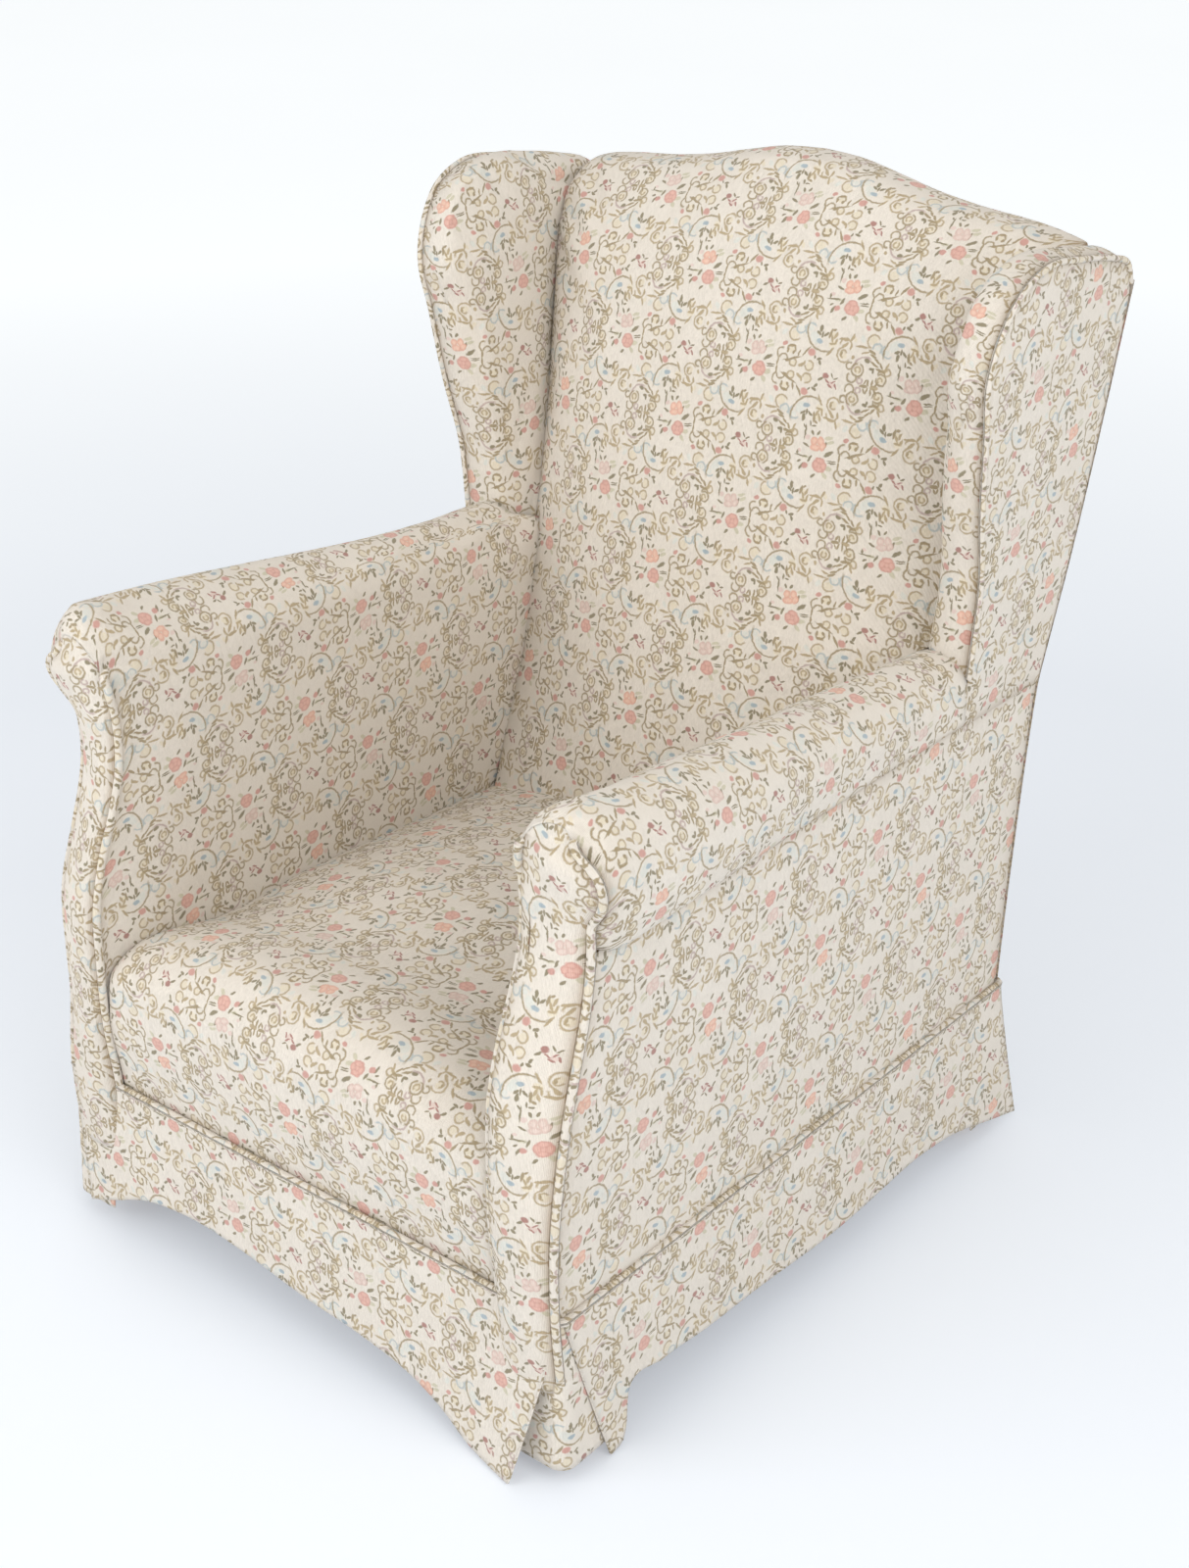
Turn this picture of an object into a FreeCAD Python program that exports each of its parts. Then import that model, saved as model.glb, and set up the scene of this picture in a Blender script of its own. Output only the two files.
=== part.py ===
import FreeCAD, Part
import math
import os

# A skirted wing armchair, upholstered all over in one fabric, on a hidden timber frame.
# Millimetres, +Z up. The sitter faces -Y, so the sitter's left hand is at +X.
# The origin is on the floor, in the middle of the chair's overall box.

V = FreeCAD.Vector

# Stance and seat frame
foot_height = 105.0
foot_top_radius = 20.0
foot_tip_radius = 14.0
rail_height = 90.0
rail_thickness = 27.0
front_rail_y = -405.0
stump_width = 50.0
stump_back_y = -320.0
post_width = 40.0
post_top_z = 968.0
back_timber = 45.0
block_leg = 55.0
block_height = 50.0
block_lift = 8.0

# Side walls: half the width over the outside panels, their thickness, and the seam below the wing
body_half_width = 337.0
panel_thickness = 3.0
back_panel_thickness = 4.0
panel_seam_z = 545.0
wing_flare = 0.073

# Arms: their width, the roll, and how the top falls from the facing to the wing
arm_width = 75.0
arm_top_front = 692.0
arm_top_back = 620.0
roll_radius = 50.0
roll_nose_radius = 34.0
facing_thickness = 14.0
arm_rail_width = 40.0
arm_rail_height = 32.0
arm_rail_cover = 45.0
arm_rail_inset = 4.0
tacking_rail_z = 250.0
tacking_rail_height = 40.0
tacking_rail_thickness = 20.0
back_tacking_z = 318.0

# Front edge of the arms seen from the side: height, distance back from the foremost point
arm_front_y = -429.0
arm_front_line = ((foot_height, 20), (190, 10), (265, 0), (340, 1), (400, 14), (460, 36),
                  (530, 51), (600, 52), (660, 46), (730, 44))

# Outer face of the back seen from the side: height, Y
back_line = ((foot_height, 334), (186, 338), (354, 350), (536, 371), (673, 399), (985, 443), (1090, 457))

# Top edge of the back seen from the front: share of the half width, height
crest_shape = ((0.0, 1052), (0.282, 1042), (0.564, 1017), (0.777, 1000), (1.024, 990))
crest_padding = 22.0
crest_panel_drop = 32.0
crest_rail_height = 140.0

# Wing seen from the side: Y, height, from the arm up and over to the back
wing_front_y = 222.0
wing_line = ((wing_front_y, arm_top_back), (216, 707), (197, 786), (183, 870), (177, 923), (188, 962),
             (214, 998), (255, 1014), (340, 1006), (450, 985))
wing_thickness_low = 60.0
wing_thickness_high = 53.0
wing_top_z = 1000.0
wing_padding = 16.0
wing_board = 26.0
wing_stile_width = 34.0
wing_joint_y = 262.0
wing_joint_z = 935.0
wing_nose_inset = 18.0

# Inside back seen from the side: height, Y at the sides, extra swell towards -Y at the middle
back_face = ((294, 140, 4), (380, 178, 20), (480, 216, 34), (600, 252, 40), (750, 290, 40),
             (880, 320, 34), (950, 337, 22))
back_roll_y = 398.0
back_roll_fullness = 6.0
back_gap = 1.5

# Tight seat seen from the side: Y, height at the sides, extra height at the middle
seat_face = ((-418, 186, 0), (-430, 285, 4), (-424, 330, 14), (-392, 348, 30), (-345, 347, 34),
             (-285, 334, 36), (-140, 333, 48), (20, 324, 44), (190, 312, 34))
seat_border = 11.0
seat_gap = 4.0
seat_draw_in = 8.0
hessian_z = 288.0
hessian_thickness = 1.5

# Covers, welts and fasteners
cover_thickness = 2.0
welt_width = 5.0
welt_depth = 9.0
clearance = 0.3
dowel_radius = 5.0
dowel_length = 56.0
dowel_rise = (43.0, 75.0)
fit_gap = 0.05
screw_radius = 2.5
screw_length = 52.0
screw_head_radius = 5.0
screw_head_height = 3.0
screw_rise = (18.0, 36.0)
bolt_radius = 4.0
bolt_length = 60.0
tack_radius = 0.9
tack_length = 14.0
tack_head_radius = 4.5
tack_head_height = 1.0
tack_rail_x = (-200.0, -120.0, -40.0, 40.0, 120.0, 200.0)
tack_rail_y = (-215.0, -125.0, -35.0, 55.0, 145.0)

# Springing and linings
web_width = 50.0
web_thickness = 2.0
web_long_x = (-160.0, -80.0, 0.0, 80.0, 160.0)
web_cross_y = (-260.0, -170.0, -80.0, 10.0, 100.0, 190.0)
web_end = 5.0
back_web_x = (-150.0, 0.0, 150.0)
back_web_z = (450.0, 600.0, 750.0)
spring_x = (-160.0, 0.0, 160.0)
spring_y = (-260.0, -80.0, 100.0)
spring_end_radius = 46.0
spring_waist_radius = 30.0
spring_wire_radius = 2.0
spring_turns = 5
dust_cover_thickness = 1.2
dust_cover_margin = 4.0
dust_cover_notch = 8.0

# Skirt
welt_z = 186.0
cord_radius = 4.0
cord_corner = 5.0
skirt_thickness = 3.0
skirt_hem_z = 6.0
skirt_arch = 46.0
skirt_flare_middle = 10.0
skirt_flare_end = 23.0
skirt_end_lean = 20.0
pleat_thickness = 2.5
pleat_leg = 62.0
pleat_flare = 9.0
pleat_corner_top = 4.5
pleat_corner_hem = 14.0
pleat_hem_z = 9.0

# Places that follow from the sizes above
far = 700.0
form_top = back_line[-1][0]
arm_inner_x = body_half_width - arm_width
crest_line = [(share * body_half_width, z) for share, z in crest_shape]
crest_rail_z = crest_line[0][1] - crest_padding - crest_rail_height
frame_x = body_half_width - panel_thickness
stump_x = frame_x - stump_width
post_x = frame_x - post_width
side_rail_x = frame_x - rail_thickness
rail_top = foot_height + rail_height
front_rail_back = front_rail_y + rail_thickness
seat_half = arm_inner_x - seat_gap
hessian_top = hessian_z + hessian_thickness
back_timber_front = back_panel_thickness + back_timber
back_lining = back_timber_front + 2 * web_thickness
back_pad_rear = back_lining + hessian_thickness + clearance
web_underside = foot_height - 2 * web_thickness
dust_cover_z = web_underside - dust_cover_thickness


def wire(point, runs):
    """Closed wire. A run of two points is a line, a longer run is one smooth curve."""
    edges = []
    last = None
    for run in runs + [[runs[0][0]]]:
        pts = [point(p) for p in run]
        if last is not None and (last - pts[0]).Length > 1e-6:
            edges.append(Part.LineSegment(last, pts[0]).toShape())
        if len(pts) == 2:
            edges.append(Part.LineSegment(pts[0], pts[1]).toShape())
        elif len(pts) > 2:
            curve = Part.BSplineCurve()
            curve.interpolate(pts)
            edges.append(curve.toShape())
        last = pts[-1]
    return Part.Wire(edges)


def side_prism(runs, x0=-far, x1=far):
    """Outline in (Y, Z), carried across from x0 to x1."""
    face = Part.Face(wire(lambda p: V(x0, p[0], p[1]), runs))
    return face.extrude(V(x1 - x0, 0, 0))


def front_prism(runs):
    """Outline in (X, Z), carried through from front to back."""
    face = Part.Face(wire(lambda p: V(p[0], -far, p[1]), runs))
    return face.extrude(V(0, 2 * far, 0))


def box(x0, x1, y0, y1, z0, z1):
    return Part.makeBox(x1 - x0, y1 - y0, z1 - z0, V(x0, y0, z0))


def mirrored(shape):
    return shape.mirror(V(0, 0, 0), V(1, 0, 0))


def both(shapes):
    return shapes + [mirrored(shape) for shape in shapes]


def cut(shape, *tools):
    for tool in tools:
        shape = shape.cut(tool)
    return shape


def outline(*points):
    """Straight-sided outline through the points."""
    return [[a, b] for a, b in zip(points, points[1:] + points[:1])]


def reading(line, at):
    """Value at one place along a list of (place, value), straight between its points."""
    for (p0, v0), (p1, v1) in zip(line, line[1:]):
        if at <= p1:
            return v0 + (v1 - v0) * (at - p0) / (p1 - p0)
    return line[-1][1]


def inset(points, depth):
    """Points of an edge that climbs and then runs to +Y, moved inwards by depth."""
    moved = []
    for i, (y, z) in enumerate(points):
        y0, z0 = points[max(i - 1, 0)]
        y1, z1 = points[min(i + 1, len(points) - 1)]
        length = math.hypot(y1 - y0, z1 - z0)
        moved.append((y + depth * (z1 - z0) / length, z - depth * (y1 - y0) / length))
    return moved


def loft(wires, ruled=False):
    return Part.makeLoft(wires, True, ruled)


def back_y(z):
    return reading(back_line, z)


def back_curve(depth):
    return [(y - depth, z) for z, y in back_line]


def back_band(near, deep):
    """Slab along the raked back, from near to deep mm in from its outer face."""
    return side_prism([back_curve(near), back_curve(deep)[::-1]])


def ahead_of_back(depth):
    curve = back_curve(depth)
    return side_prism([curve, [(-far, curve[-1][1]), (-far, foot_height)]])


def arm_front_curve(depth):
    return [(arm_front_y + setback + depth, z) for z, setback in arm_front_line]


def ahead_of_arm_front(depth):
    curve = arm_front_curve(depth)
    return side_prism([curve, [(-far, curve[-1][1]), (-far, foot_height)]])


def arm_top(y):
    slope = (arm_top_back - arm_top_front) / (wing_front_y - arm_front_y)
    return arm_top_front + slope * (y - arm_front_y)


def below_arm_top(drop):
    return side_prism(outline((-far, 0), (-far, arm_top(-far) - drop), (far, arm_top(far) - drop), (far, 0)))


def outer_x(z):
    """Outer face of the side panels: upright to the seam, flared above it."""
    return body_half_width + wing_flare * max(0.0, z - panel_seam_z)


def wing_inner_x(z):
    thinning = (wing_thickness_low - wing_thickness_high) / (wing_top_z - arm_top_back)
    outer = body_half_width + wing_flare * (z - panel_seam_z)
    return outer - wing_thickness_low + thinning * (z - arm_top_back)


def side_slab(near, deep):
    """Left side slab between two depths in from the outer face of the side panels."""
    return front_prism(outline((body_half_width - near, 0), (body_half_width - near, panel_seam_z),
                               (outer_x(form_top) - near, form_top), (outer_x(form_top) - deep, form_top),
                               (body_half_width - deep, panel_seam_z), (body_half_width - deep, 0)))


def crest_curve(drop):
    """Top edge of the back from -X to +X, lowered by drop."""
    left = [(x, z - drop) for x, z in crest_line]
    right = [(-x, z) for x, z in left[:0:-1]]
    return right + left


def below_crest(drop):
    curve = crest_curve(drop)
    return front_prism([curve, [(curve[-1][0], 0), (curve[0][0], 0)]])


def peg(start, direction, radius, length):
    return Part.makeCylinder(radius, length, V(*start), V(*direction))


nodes = {}


def add_pair(name, shape):
    nodes["left_" + name] = shape
    nodes["right_" + name] = mirrored(shape)


# Fasteners. Each list holds the left side's pieces, and the holes that take them are fit_gap wider.

def dowel(centre, direction, gap=0.0):
    half = dowel_length / 2 + gap
    start = [c - half * d for c, d in zip(centre, direction)]
    return peg(start, direction, dowel_radius + gap, 2 * half)


def dowel_places():
    across = (1, 0, 0)
    along = (0, 1, 0)
    upright = (0, 0, 1)
    rail_mid_y = front_rail_y + rail_thickness / 2
    side_mid_x = side_rail_x + rail_thickness / 2
    timber_mid = back_timber_front - back_timber / 2
    places = []
    for rise in dowel_rise:
        z = foot_height + rise
        crest_z = crest_rail_z + rise / 2
        crest_x = outer_x(crest_z) - panel_thickness - post_width
        places.append(((stump_x, rail_mid_y, z), across))
        places.append(((side_mid_x, stump_back_y, z), along))
        places.append(((side_mid_x, back_y(z) - back_timber_front, z), along))
        places.append(((post_x, back_y(z) - timber_mid, z), across))
        places.append(((crest_x, back_y(crest_z) - timber_mid, crest_z), across))
    neck_y = arm_front_y + max(setback for z, setback in arm_front_line) + facing_thickness
    stump_mid_y = (neck_y + stump_back_y) / 2
    joint_z = arm_top(stump_mid_y) - arm_rail_cover - arm_rail_height
    places.append(((frame_x - arm_rail_inset - arm_rail_width / 2, stump_mid_y, joint_z), upright))
    return places


front_foot = (stump_x + stump_width / 2, (front_rail_y + stump_back_y) / 2)
back_foot = (post_x + post_width / 2, back_y(foot_height) - back_timber_front + back_timber / 2)


def foot_bolt(place, gap=0.0):
    base = (place[0], place[1], foot_height - bolt_length / 2 - gap)
    return peg(base, (0, 0, 1), bolt_radius + gap, bolt_length + 2 * gap)


front_block_corner = (stump_x, front_rail_back)
back_block_corner = (side_rail_x, back_y(foot_height) - back_timber_front)


def block_screw(corner, towards, z, gap=0.0):
    """Screw from the middle of a corner block's long face, through the corner, into the upright."""
    unit = math.sqrt(0.5)
    direction = (unit, unit * towards, 0)
    start = (corner[0] - block_leg / 2, corner[1] - towards * block_leg / 2, z)
    shank = peg(start, direction, screw_radius + gap, screw_length + gap)
    head = peg(start, direction, screw_head_radius + gap, screw_head_height + gap)
    return shank.fuse(head).removeSplitter()


def screw_set(gap=0.0):
    heights = [foot_height + rise for rise in screw_rise]
    front = [block_screw(front_block_corner, -1, z, gap) for z in heights]
    back = [block_screw(back_block_corner, 1, z, gap) for z in heights]
    return front + back


def tack(x, y, gap=0.0):
    shank = peg((x, y, dust_cover_z - gap), (0, 0, 1), tack_radius + gap, tack_length + 2 * gap)
    if gap:
        return shank
    head = peg((x, y, dust_cover_z - tack_head_height), (0, 0, 1), tack_head_radius, tack_head_height)
    return shank.fuse(head)


def tack_set(gap=0.0):
    front_y = front_rail_y + rail_thickness / 2
    rear_y = back_y(foot_height) - back_timber_front + back_timber / 2
    side_x = side_rail_x + rail_thickness / 2
    places = [(x, y) for y in (front_y, rear_y) for x in tack_rail_x]
    places += [(side * side_x, y) for side in (-1, 1) for y in tack_rail_y]
    return [tack(x, y, gap) for x, y in places]


dowel_holes = both([dowel(c, d, fit_gap) for c, d in dowel_places()])
bolt_holes = both([foot_bolt(place, fit_gap) for place in (front_foot, back_foot)])
screw_holes = both(screw_set(fit_gap))
tack_holes = tack_set(fit_gap)


def drilled(shape):
    """Timber with every fastener hole that reaches it."""
    for hole in dowel_holes + bolt_holes + screw_holes + tack_holes:
        if shape.BoundBox.intersect(hole.BoundBox):
            shape = shape.cut(hole)
    return shape


# Timber frame

front_rail = box(-stump_x, stump_x, front_rail_y, front_rail_back, foot_height, rail_top)
nodes["front_seat_rail"] = drilled(front_rail)

back_timbers = back_band(back_panel_thickness, back_timber_front)
before_timbers = ahead_of_back(back_timber_front)
back_rail = back_timbers.common(box(-post_x, post_x, -far, far, foot_height, rail_top))
nodes["back_seat_rail"] = drilled(back_rail)

side_rail = box(side_rail_x, frame_x, stump_back_y, far, foot_height, rail_top).common(before_timbers)
add_pair("seat_rail", drilled(side_rail))

stump = box(stump_x, frame_x, -far, stump_back_y, foot_height, far).cut(ahead_of_arm_front(facing_thickness))
stump = stump.common(below_arm_top(arm_rail_cover + arm_rail_height))
add_pair("arm_stump", drilled(stump))

post_top_x = outer_x(post_top_z) - panel_thickness
post_view = outline((post_x, foot_height), (frame_x, foot_height), (frame_x, panel_seam_z),
                    (post_top_x, post_top_z), (post_top_x - post_width, post_top_z), (post_x, panel_seam_z))
post = back_timbers.common(front_prism(post_view))
add_pair("back_post", drilled(post))

arm_rail = box(frame_x - arm_rail_inset - arm_rail_width, frame_x - arm_rail_inset, -far, far, 0, far)
arm_rail = arm_rail.common(below_arm_top(arm_rail_cover)).cut(below_arm_top(arm_rail_cover + arm_rail_height))
arm_rail = arm_rail.cut(ahead_of_arm_front(facing_thickness)).common(before_timbers)
add_pair("arm_rail", drilled(arm_rail))

arm_tacking_rail = box(stump_x, stump_x + tacking_rail_thickness, stump_back_y, far,
                       tacking_rail_z, tacking_rail_z + tacking_rail_height).common(before_timbers)
add_pair("arm_tacking_rail", arm_tacking_rail)

crest_low_x = outer_x(crest_rail_z) - panel_thickness - post_width
crest_high_x = outer_x(form_top) - panel_thickness - post_width
between_posts = front_prism(outline((-crest_low_x, crest_rail_z), (crest_low_x, crest_rail_z),
                                    (crest_high_x, form_top), (-crest_high_x, form_top)))
crest_rail = back_timbers.common(between_posts).common(below_crest(crest_padding))
nodes["back_crest_rail"] = drilled(crest_rail)
nodes["back_tacking_rail"] = back_timbers.common(
    box(-post_x, post_x, -far, far, back_tacking_z, back_tacking_z + tacking_rail_height))


def corner_block(corner, towards):
    x, y = corner
    z = foot_height + block_lift
    points = (V(x, y, z), V(x - block_leg, y, z), V(x, y - towards * block_leg, z))
    face = Part.Face(Part.makePolygon(points + points[:1]))
    return drilled(face.extrude(V(0, 0, block_height)))


nodes["corner_blocks"] = Part.makeCompound(
    both([corner_block(front_block_corner, -1), corner_block(back_block_corner, 1)]))


def foot(place):
    shape = Part.makeCone(foot_tip_radius, foot_top_radius, foot_height, V(place[0], place[1], 0))
    return shape.cut(foot_bolt(place, fit_gap))


nodes["front_feet"] = Part.makeCompound(both([foot(front_foot)]))
nodes["back_feet"] = Part.makeCompound(both([foot(back_foot)]))
nodes["foot_bolts"] = Part.makeCompound(both([foot_bolt(front_foot), foot_bolt(back_foot)]))
nodes["frame_dowels"] = Part.makeCompound(both([dowel(c, d) for c, d in dowel_places()]))
nodes["corner_block_screws"] = Part.makeCompound(both(screw_set()))
nodes["dust_cover_tacks"] = Part.makeCompound(tack_set())


def wing_runs(depth):
    """Side view of the wing, its padded edge moved in by depth."""
    edge = inset(list(wing_line), depth)
    return [[(edge[0][0], panel_seam_z), edge[0]], edge, [(far, edge[-1][1]), (far, panel_seam_z)]]


wing_boards = side_prism(wing_runs(wing_padding)).cut(side_prism(wing_runs(wing_padding + wing_stile_width)))
wing_boards = wing_boards.common(side_slab(panel_thickness, panel_thickness + wing_board))
wing_boards = wing_boards.common(before_timbers).cut(below_arm_top(arm_rail_cover))
wing_joint = box(-far, far, wing_joint_y, far, wing_joint_z, form_top)
add_pair("wing_stile", wing_boards.cut(wing_joint))
add_pair("wing_rail", wing_boards.common(wing_joint))

# Springing: webbing under the rails, coil springs, hessian over them, and the same across the back

web_back = back_y(foot_height) - back_panel_thickness - web_end
seat_webs = [box(x - web_width / 2, x + web_width / 2, front_rail_y + web_end, web_back,
                 foot_height - web_thickness, foot_height) for x in web_long_x]
seat_webs += [box(web_end - frame_x, frame_x - web_end, y - web_width / 2, y + web_width / 2,
                  web_underside, foot_height - web_thickness) for y in web_cross_y]
nodes["seat_webbing"] = Part.makeCompound(seat_webs)

web_layer = back_band(back_timber_front, back_timber_front + web_thickness)
back_webs = [web_layer.common(box(x - web_width / 2, x + web_width / 2, -far, far,
                                  back_tacking_z, crest_rail_z + tacking_rail_height)) for x in back_web_x]
web_layer = back_band(back_timber_front + web_thickness, back_lining)
web_reach = post_x + post_width / 2
back_webs += [web_layer.common(box(-web_reach, web_reach, -far, far,
                                   z - web_width / 2, z + web_width / 2)) for z in back_web_z]
nodes["back_webbing"] = Part.makeCompound(back_webs)

hessian_back = back_y(hessian_z) - back_timber_front - web_end
nodes["seat_hessian"] = box(-seat_half, seat_half, front_rail_back, hessian_back, hessian_z, hessian_top)
nodes["back_hessian"] = back_band(back_lining, back_lining + hessian_thickness).common(
    box(web_end - post_x, post_x - web_end, -far, far, back_tacking_z, crest_rail_z + tacking_rail_height))

spring_low = foot_height + spring_wire_radius + clearance
spring_high = hessian_z - spring_wire_radius - clearance


def spring_point(turn):
    """Point and direction of the wire after so many turns, drawn in at the waist."""
    share = turn / spring_turns
    angle = 2 * math.pi * turn
    waist = abs(2 * share - 1)
    radius = spring_waist_radius + (spring_end_radius - spring_waist_radius) * waist
    growth = (spring_end_radius - spring_waist_radius) * (2 if share > 0.5 else -2) / spring_turns
    climb = (spring_high - spring_low) / spring_turns
    place = V(radius * math.cos(angle), radius * math.sin(angle), spring_low + climb * turn)
    turning = 2 * math.pi * radius
    heading = V(growth * math.cos(angle) - turning * math.sin(angle),
                growth * math.sin(angle) + turning * math.cos(angle), climb)
    return place, heading.normalize()


def arc_from(start, heading, end):
    """Arc that leaves start along heading and reaches end."""
    chord = end - start
    along = V(chord).normalize()
    sideways = heading - along * heading.dot(along)
    half_angle = heading.getAngle(chord) / 2
    middle = start + chord * 0.5 + V(sideways).normalize() * (chord.Length / 2 * math.tan(half_angle))
    return Part.Arc(start, middle, end).toShape()


def biarc(start, heading, end, leaving):
    span = end - start
    both_ways = heading + leaving
    spread = 2 * (1 - heading.dot(leaving))
    pull = span.dot(both_ways)
    reach = (math.sqrt(pull * pull + spread * span.dot(span)) - pull) / spread
    joint = (start + heading * reach + end - leaving * reach) * 0.5
    first = arc_from(start, heading, joint)
    second = arc_from(end, leaving * -1, joint)
    return [first, second]


def coil_spring():
    edges = []
    stops = [spring_point(quarter / 4) for quarter in range(4 * spring_turns + 1)]
    for (start, heading), (end, leaving) in zip(stops, stops[1:]):
        edges += biarc(start, heading, end, leaving)
    path = Part.Wire(Part.__sortEdges__(edges))
    section = Part.Wire(Part.makeCircle(spring_wire_radius, stops[0][0], stops[0][1]))
    print("spring coil gap", round((spring_high - spring_low) / spring_turns - 2 * spring_wire_radius, 1))
    return path.makePipeShell([section], True, False)


spring = coil_spring()
nodes["seat_springs"] = Part.makeCompound(
    [spring.translated(V(x, y, 0)) for x in spring_x for y in spring_y])

# Arms: one form, cut into facing, piping, cover and stuffing


def arm_section(y, radius, skin):
    """Keyhole section of the arm: a roll on an upright stem."""
    centre_x = arm_inner_x + radius
    top = arm_top(y) - skin
    round_r = radius - skin
    centre_z = top - round_r
    stem_x = frame_x - skin
    end_angle = -math.acos(min(1.0, (stem_x - centre_x) / round_r))
    ends = [math.pi, math.pi / 2, end_angle]

    def on_roll(angle):
        return V(centre_x + round_r * math.cos(angle), y, centre_z + round_r * math.sin(angle))

    arcs = [Part.Arc(on_roll(a), on_roll((a + b) / 2), on_roll(b)).toShape() for a, b in zip(ends, ends[1:])]
    foot_in = V(arm_inner_x + skin, y, foot_height)
    foot_out = V(stem_x, y, foot_height)
    lines = [Part.LineSegment(foot_in, on_roll(math.pi)).toShape(),
             Part.LineSegment(on_roll(end_angle), foot_out).toShape(),
             Part.LineSegment(foot_out, foot_in).toShape()]
    return Part.Wire([lines[0], arcs[0], arcs[1], lines[1], lines[2]])


flush_radius = (frame_x - arm_inner_x) / 2
nose_z = arm_top_front - roll_nose_radius
nose_y = arm_front_y + reading(arm_front_line, nose_z)
nose_top = arm_top(nose_y + roll_nose_radius)


def nose_cutter(skin):
    """What the rounded top of the arm's front takes off its square corner."""
    r = roll_nose_radius - skin
    cy = nose_y + roll_nose_radius
    cz = nose_top - roll_nose_radius
    diagonal = r * math.sqrt(0.5)
    arc = Part.Arc(V(-far, cy - r, cz), V(-far, cy - diagonal, cz + diagonal), V(-far, cy, cz + r)).toShape()
    corners = (V(-far, cy, cz + r), V(-far, cy, form_top), V(-far, -far, form_top), V(-far, -far, cz),
               V(-far, cy - r, cz))
    sides = [Part.LineSegment(a, b).toShape() for a, b in zip(corners, corners[1:])]
    return Part.Face(Part.Wire([arc] + sides)).extrude(V(2 * far, 0, 0))


def arm_form(skin):
    front_y = arm_front_y - roll_nose_radius
    sections = [arm_section(front_y, roll_radius, skin), arm_section(wing_front_y, flush_radius, skin)]
    return loft(sections, True).cut(nose_cutter(skin))


arm_block = arm_form(0.0).cut(ahead_of_arm_front(0.0))
facing_zone = ahead_of_arm_front(facing_thickness)
welt_zone = facing_zone.cut(ahead_of_arm_front(facing_thickness - welt_depth))
arm_hollow = box(stump_x, frame_x, -far, far, 0, far).common(below_arm_top(arm_rail_cover + arm_rail_height))
under_arm = box(-far, far, -far, far, 0, rail_top)
arm_core = arm_form(cover_thickness)

facing_welt = arm_block.cut(arm_form(welt_width)).common(welt_zone).cut(front_rail)
add_pair("facing_piping", facing_welt)
add_pair("facing_pad", arm_block.common(facing_zone).cut(facing_welt).cut(front_rail))
add_pair("arm_cover", cut(arm_block, arm_core, facing_zone, arm_hollow, under_arm))
add_pair("arm_stuffing", cut(arm_core, facing_zone, arm_hollow, under_arm, arm_rail))

# Inside back: lofted across the chair, swelling at the middle and rolling over the crest


def back_section(share, skin):
    def place(p):
        return V(share * (wing_inner_x(p[1]) - back_gap - skin), p[0], p[1])

    middle = 1 - share * share
    top = reading(crest_line, abs(share) * wing_inner_x(wing_top_z))
    edge = [(y - swell * middle, z) for z, y, swell in back_face]
    base_z = edge[0][1]
    edge.append(((edge[-1][0] + back_roll_y) / 2 - back_roll_fullness, (edge[-1][1] + 2 * top) / 3))
    edge.append((back_roll_y, top))
    edge.append((back_y(top - crest_panel_drop), top - crest_panel_drop))
    edge = inset(edge, skin)
    edge[0] = (edge[0][0], base_z)
    return wire(place, [edge, [(edge[-1][0], base_z), edge[0]]])


back_shares = (-1.0, -0.62, 0.0, 0.62, 1.0)
behind_lining = side_prism([back_curve(back_pad_rear), [(far, form_top), (far, foot_height)]])
behind_lining = behind_lining.common(below_crest(crest_padding))
arm_ends = [box(arm_inner_x - clearance, far, -far, wing_front_y + clearance, 0, arm_top_back + clearance)]


def back_form(skin):
    form = loft([back_section(share, skin) for share in back_shares])
    return cut(form, behind_lining, *both(arm_ends))


back_block = back_form(0.0)
back_core = back_form(cover_thickness)
nodes["back_cover"] = back_block.cut(back_core)
nodes["back_stuffing"] = back_core

# Tight seat: a rolled front edge over the rail, a shallow dip behind it, and a crowned top


def seat_section(share, skin):
    middle = 1 - share * share
    drawn = seat_draw_in * share ** 4
    edge = [(front_rail_y - seat_border + drawn / 2, foot_height)]
    edge += [(y + drawn * (y < 0), z + rise * middle) for y, z, rise in seat_face]
    edge = inset(edge, skin)
    edge[0] = (edge[0][0], foot_height)
    end_y = edge[-1][0]
    floor = hessian_top + clearance
    runs = [edge, [(end_y, floor), (front_rail_back, floor)], [(front_rail_back, rail_top),
            (front_rail_y, rail_top)], [(front_rail_y, foot_height), edge[0]]]
    return wire(lambda p: V(share * (seat_half - skin), p[0], p[1]), runs)


seat_shares = (-1.0, -0.6, 0.0, 0.6, 1.0)
back_room = back_form(-clearance)
seat_block = loft([seat_section(share, 0.0) for share in seat_shares]).cut(back_room)
seat_core = loft([seat_section(share, cover_thickness) for share in seat_shares]).cut(back_room)
nodes["seat_cover"] = seat_block.cut(seat_core)
nodes["seat_stuffing"] = seat_core

# Wings: a padded board, fuller at its leading edge, piped where it meets the outside panel


def wing_section(share, depth, skin):
    def place(p):
        outer = body_half_width + wing_flare * (p[1] - panel_seam_z) - panel_thickness
        return V(outer + share * (wing_inner_x(p[1]) + skin - outer), p[0], p[1])

    return wire(place, wing_runs(depth + skin))


before_back_panel = ahead_of_back(back_panel_thickness)


def wing_form(skin):
    sections = [wing_section(0.0, 0.0, skin), wing_section(0.5, 0.0, skin),
                wing_section(1.0, wing_nose_inset, skin)]
    return loft(sections).common(before_back_panel)


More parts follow.
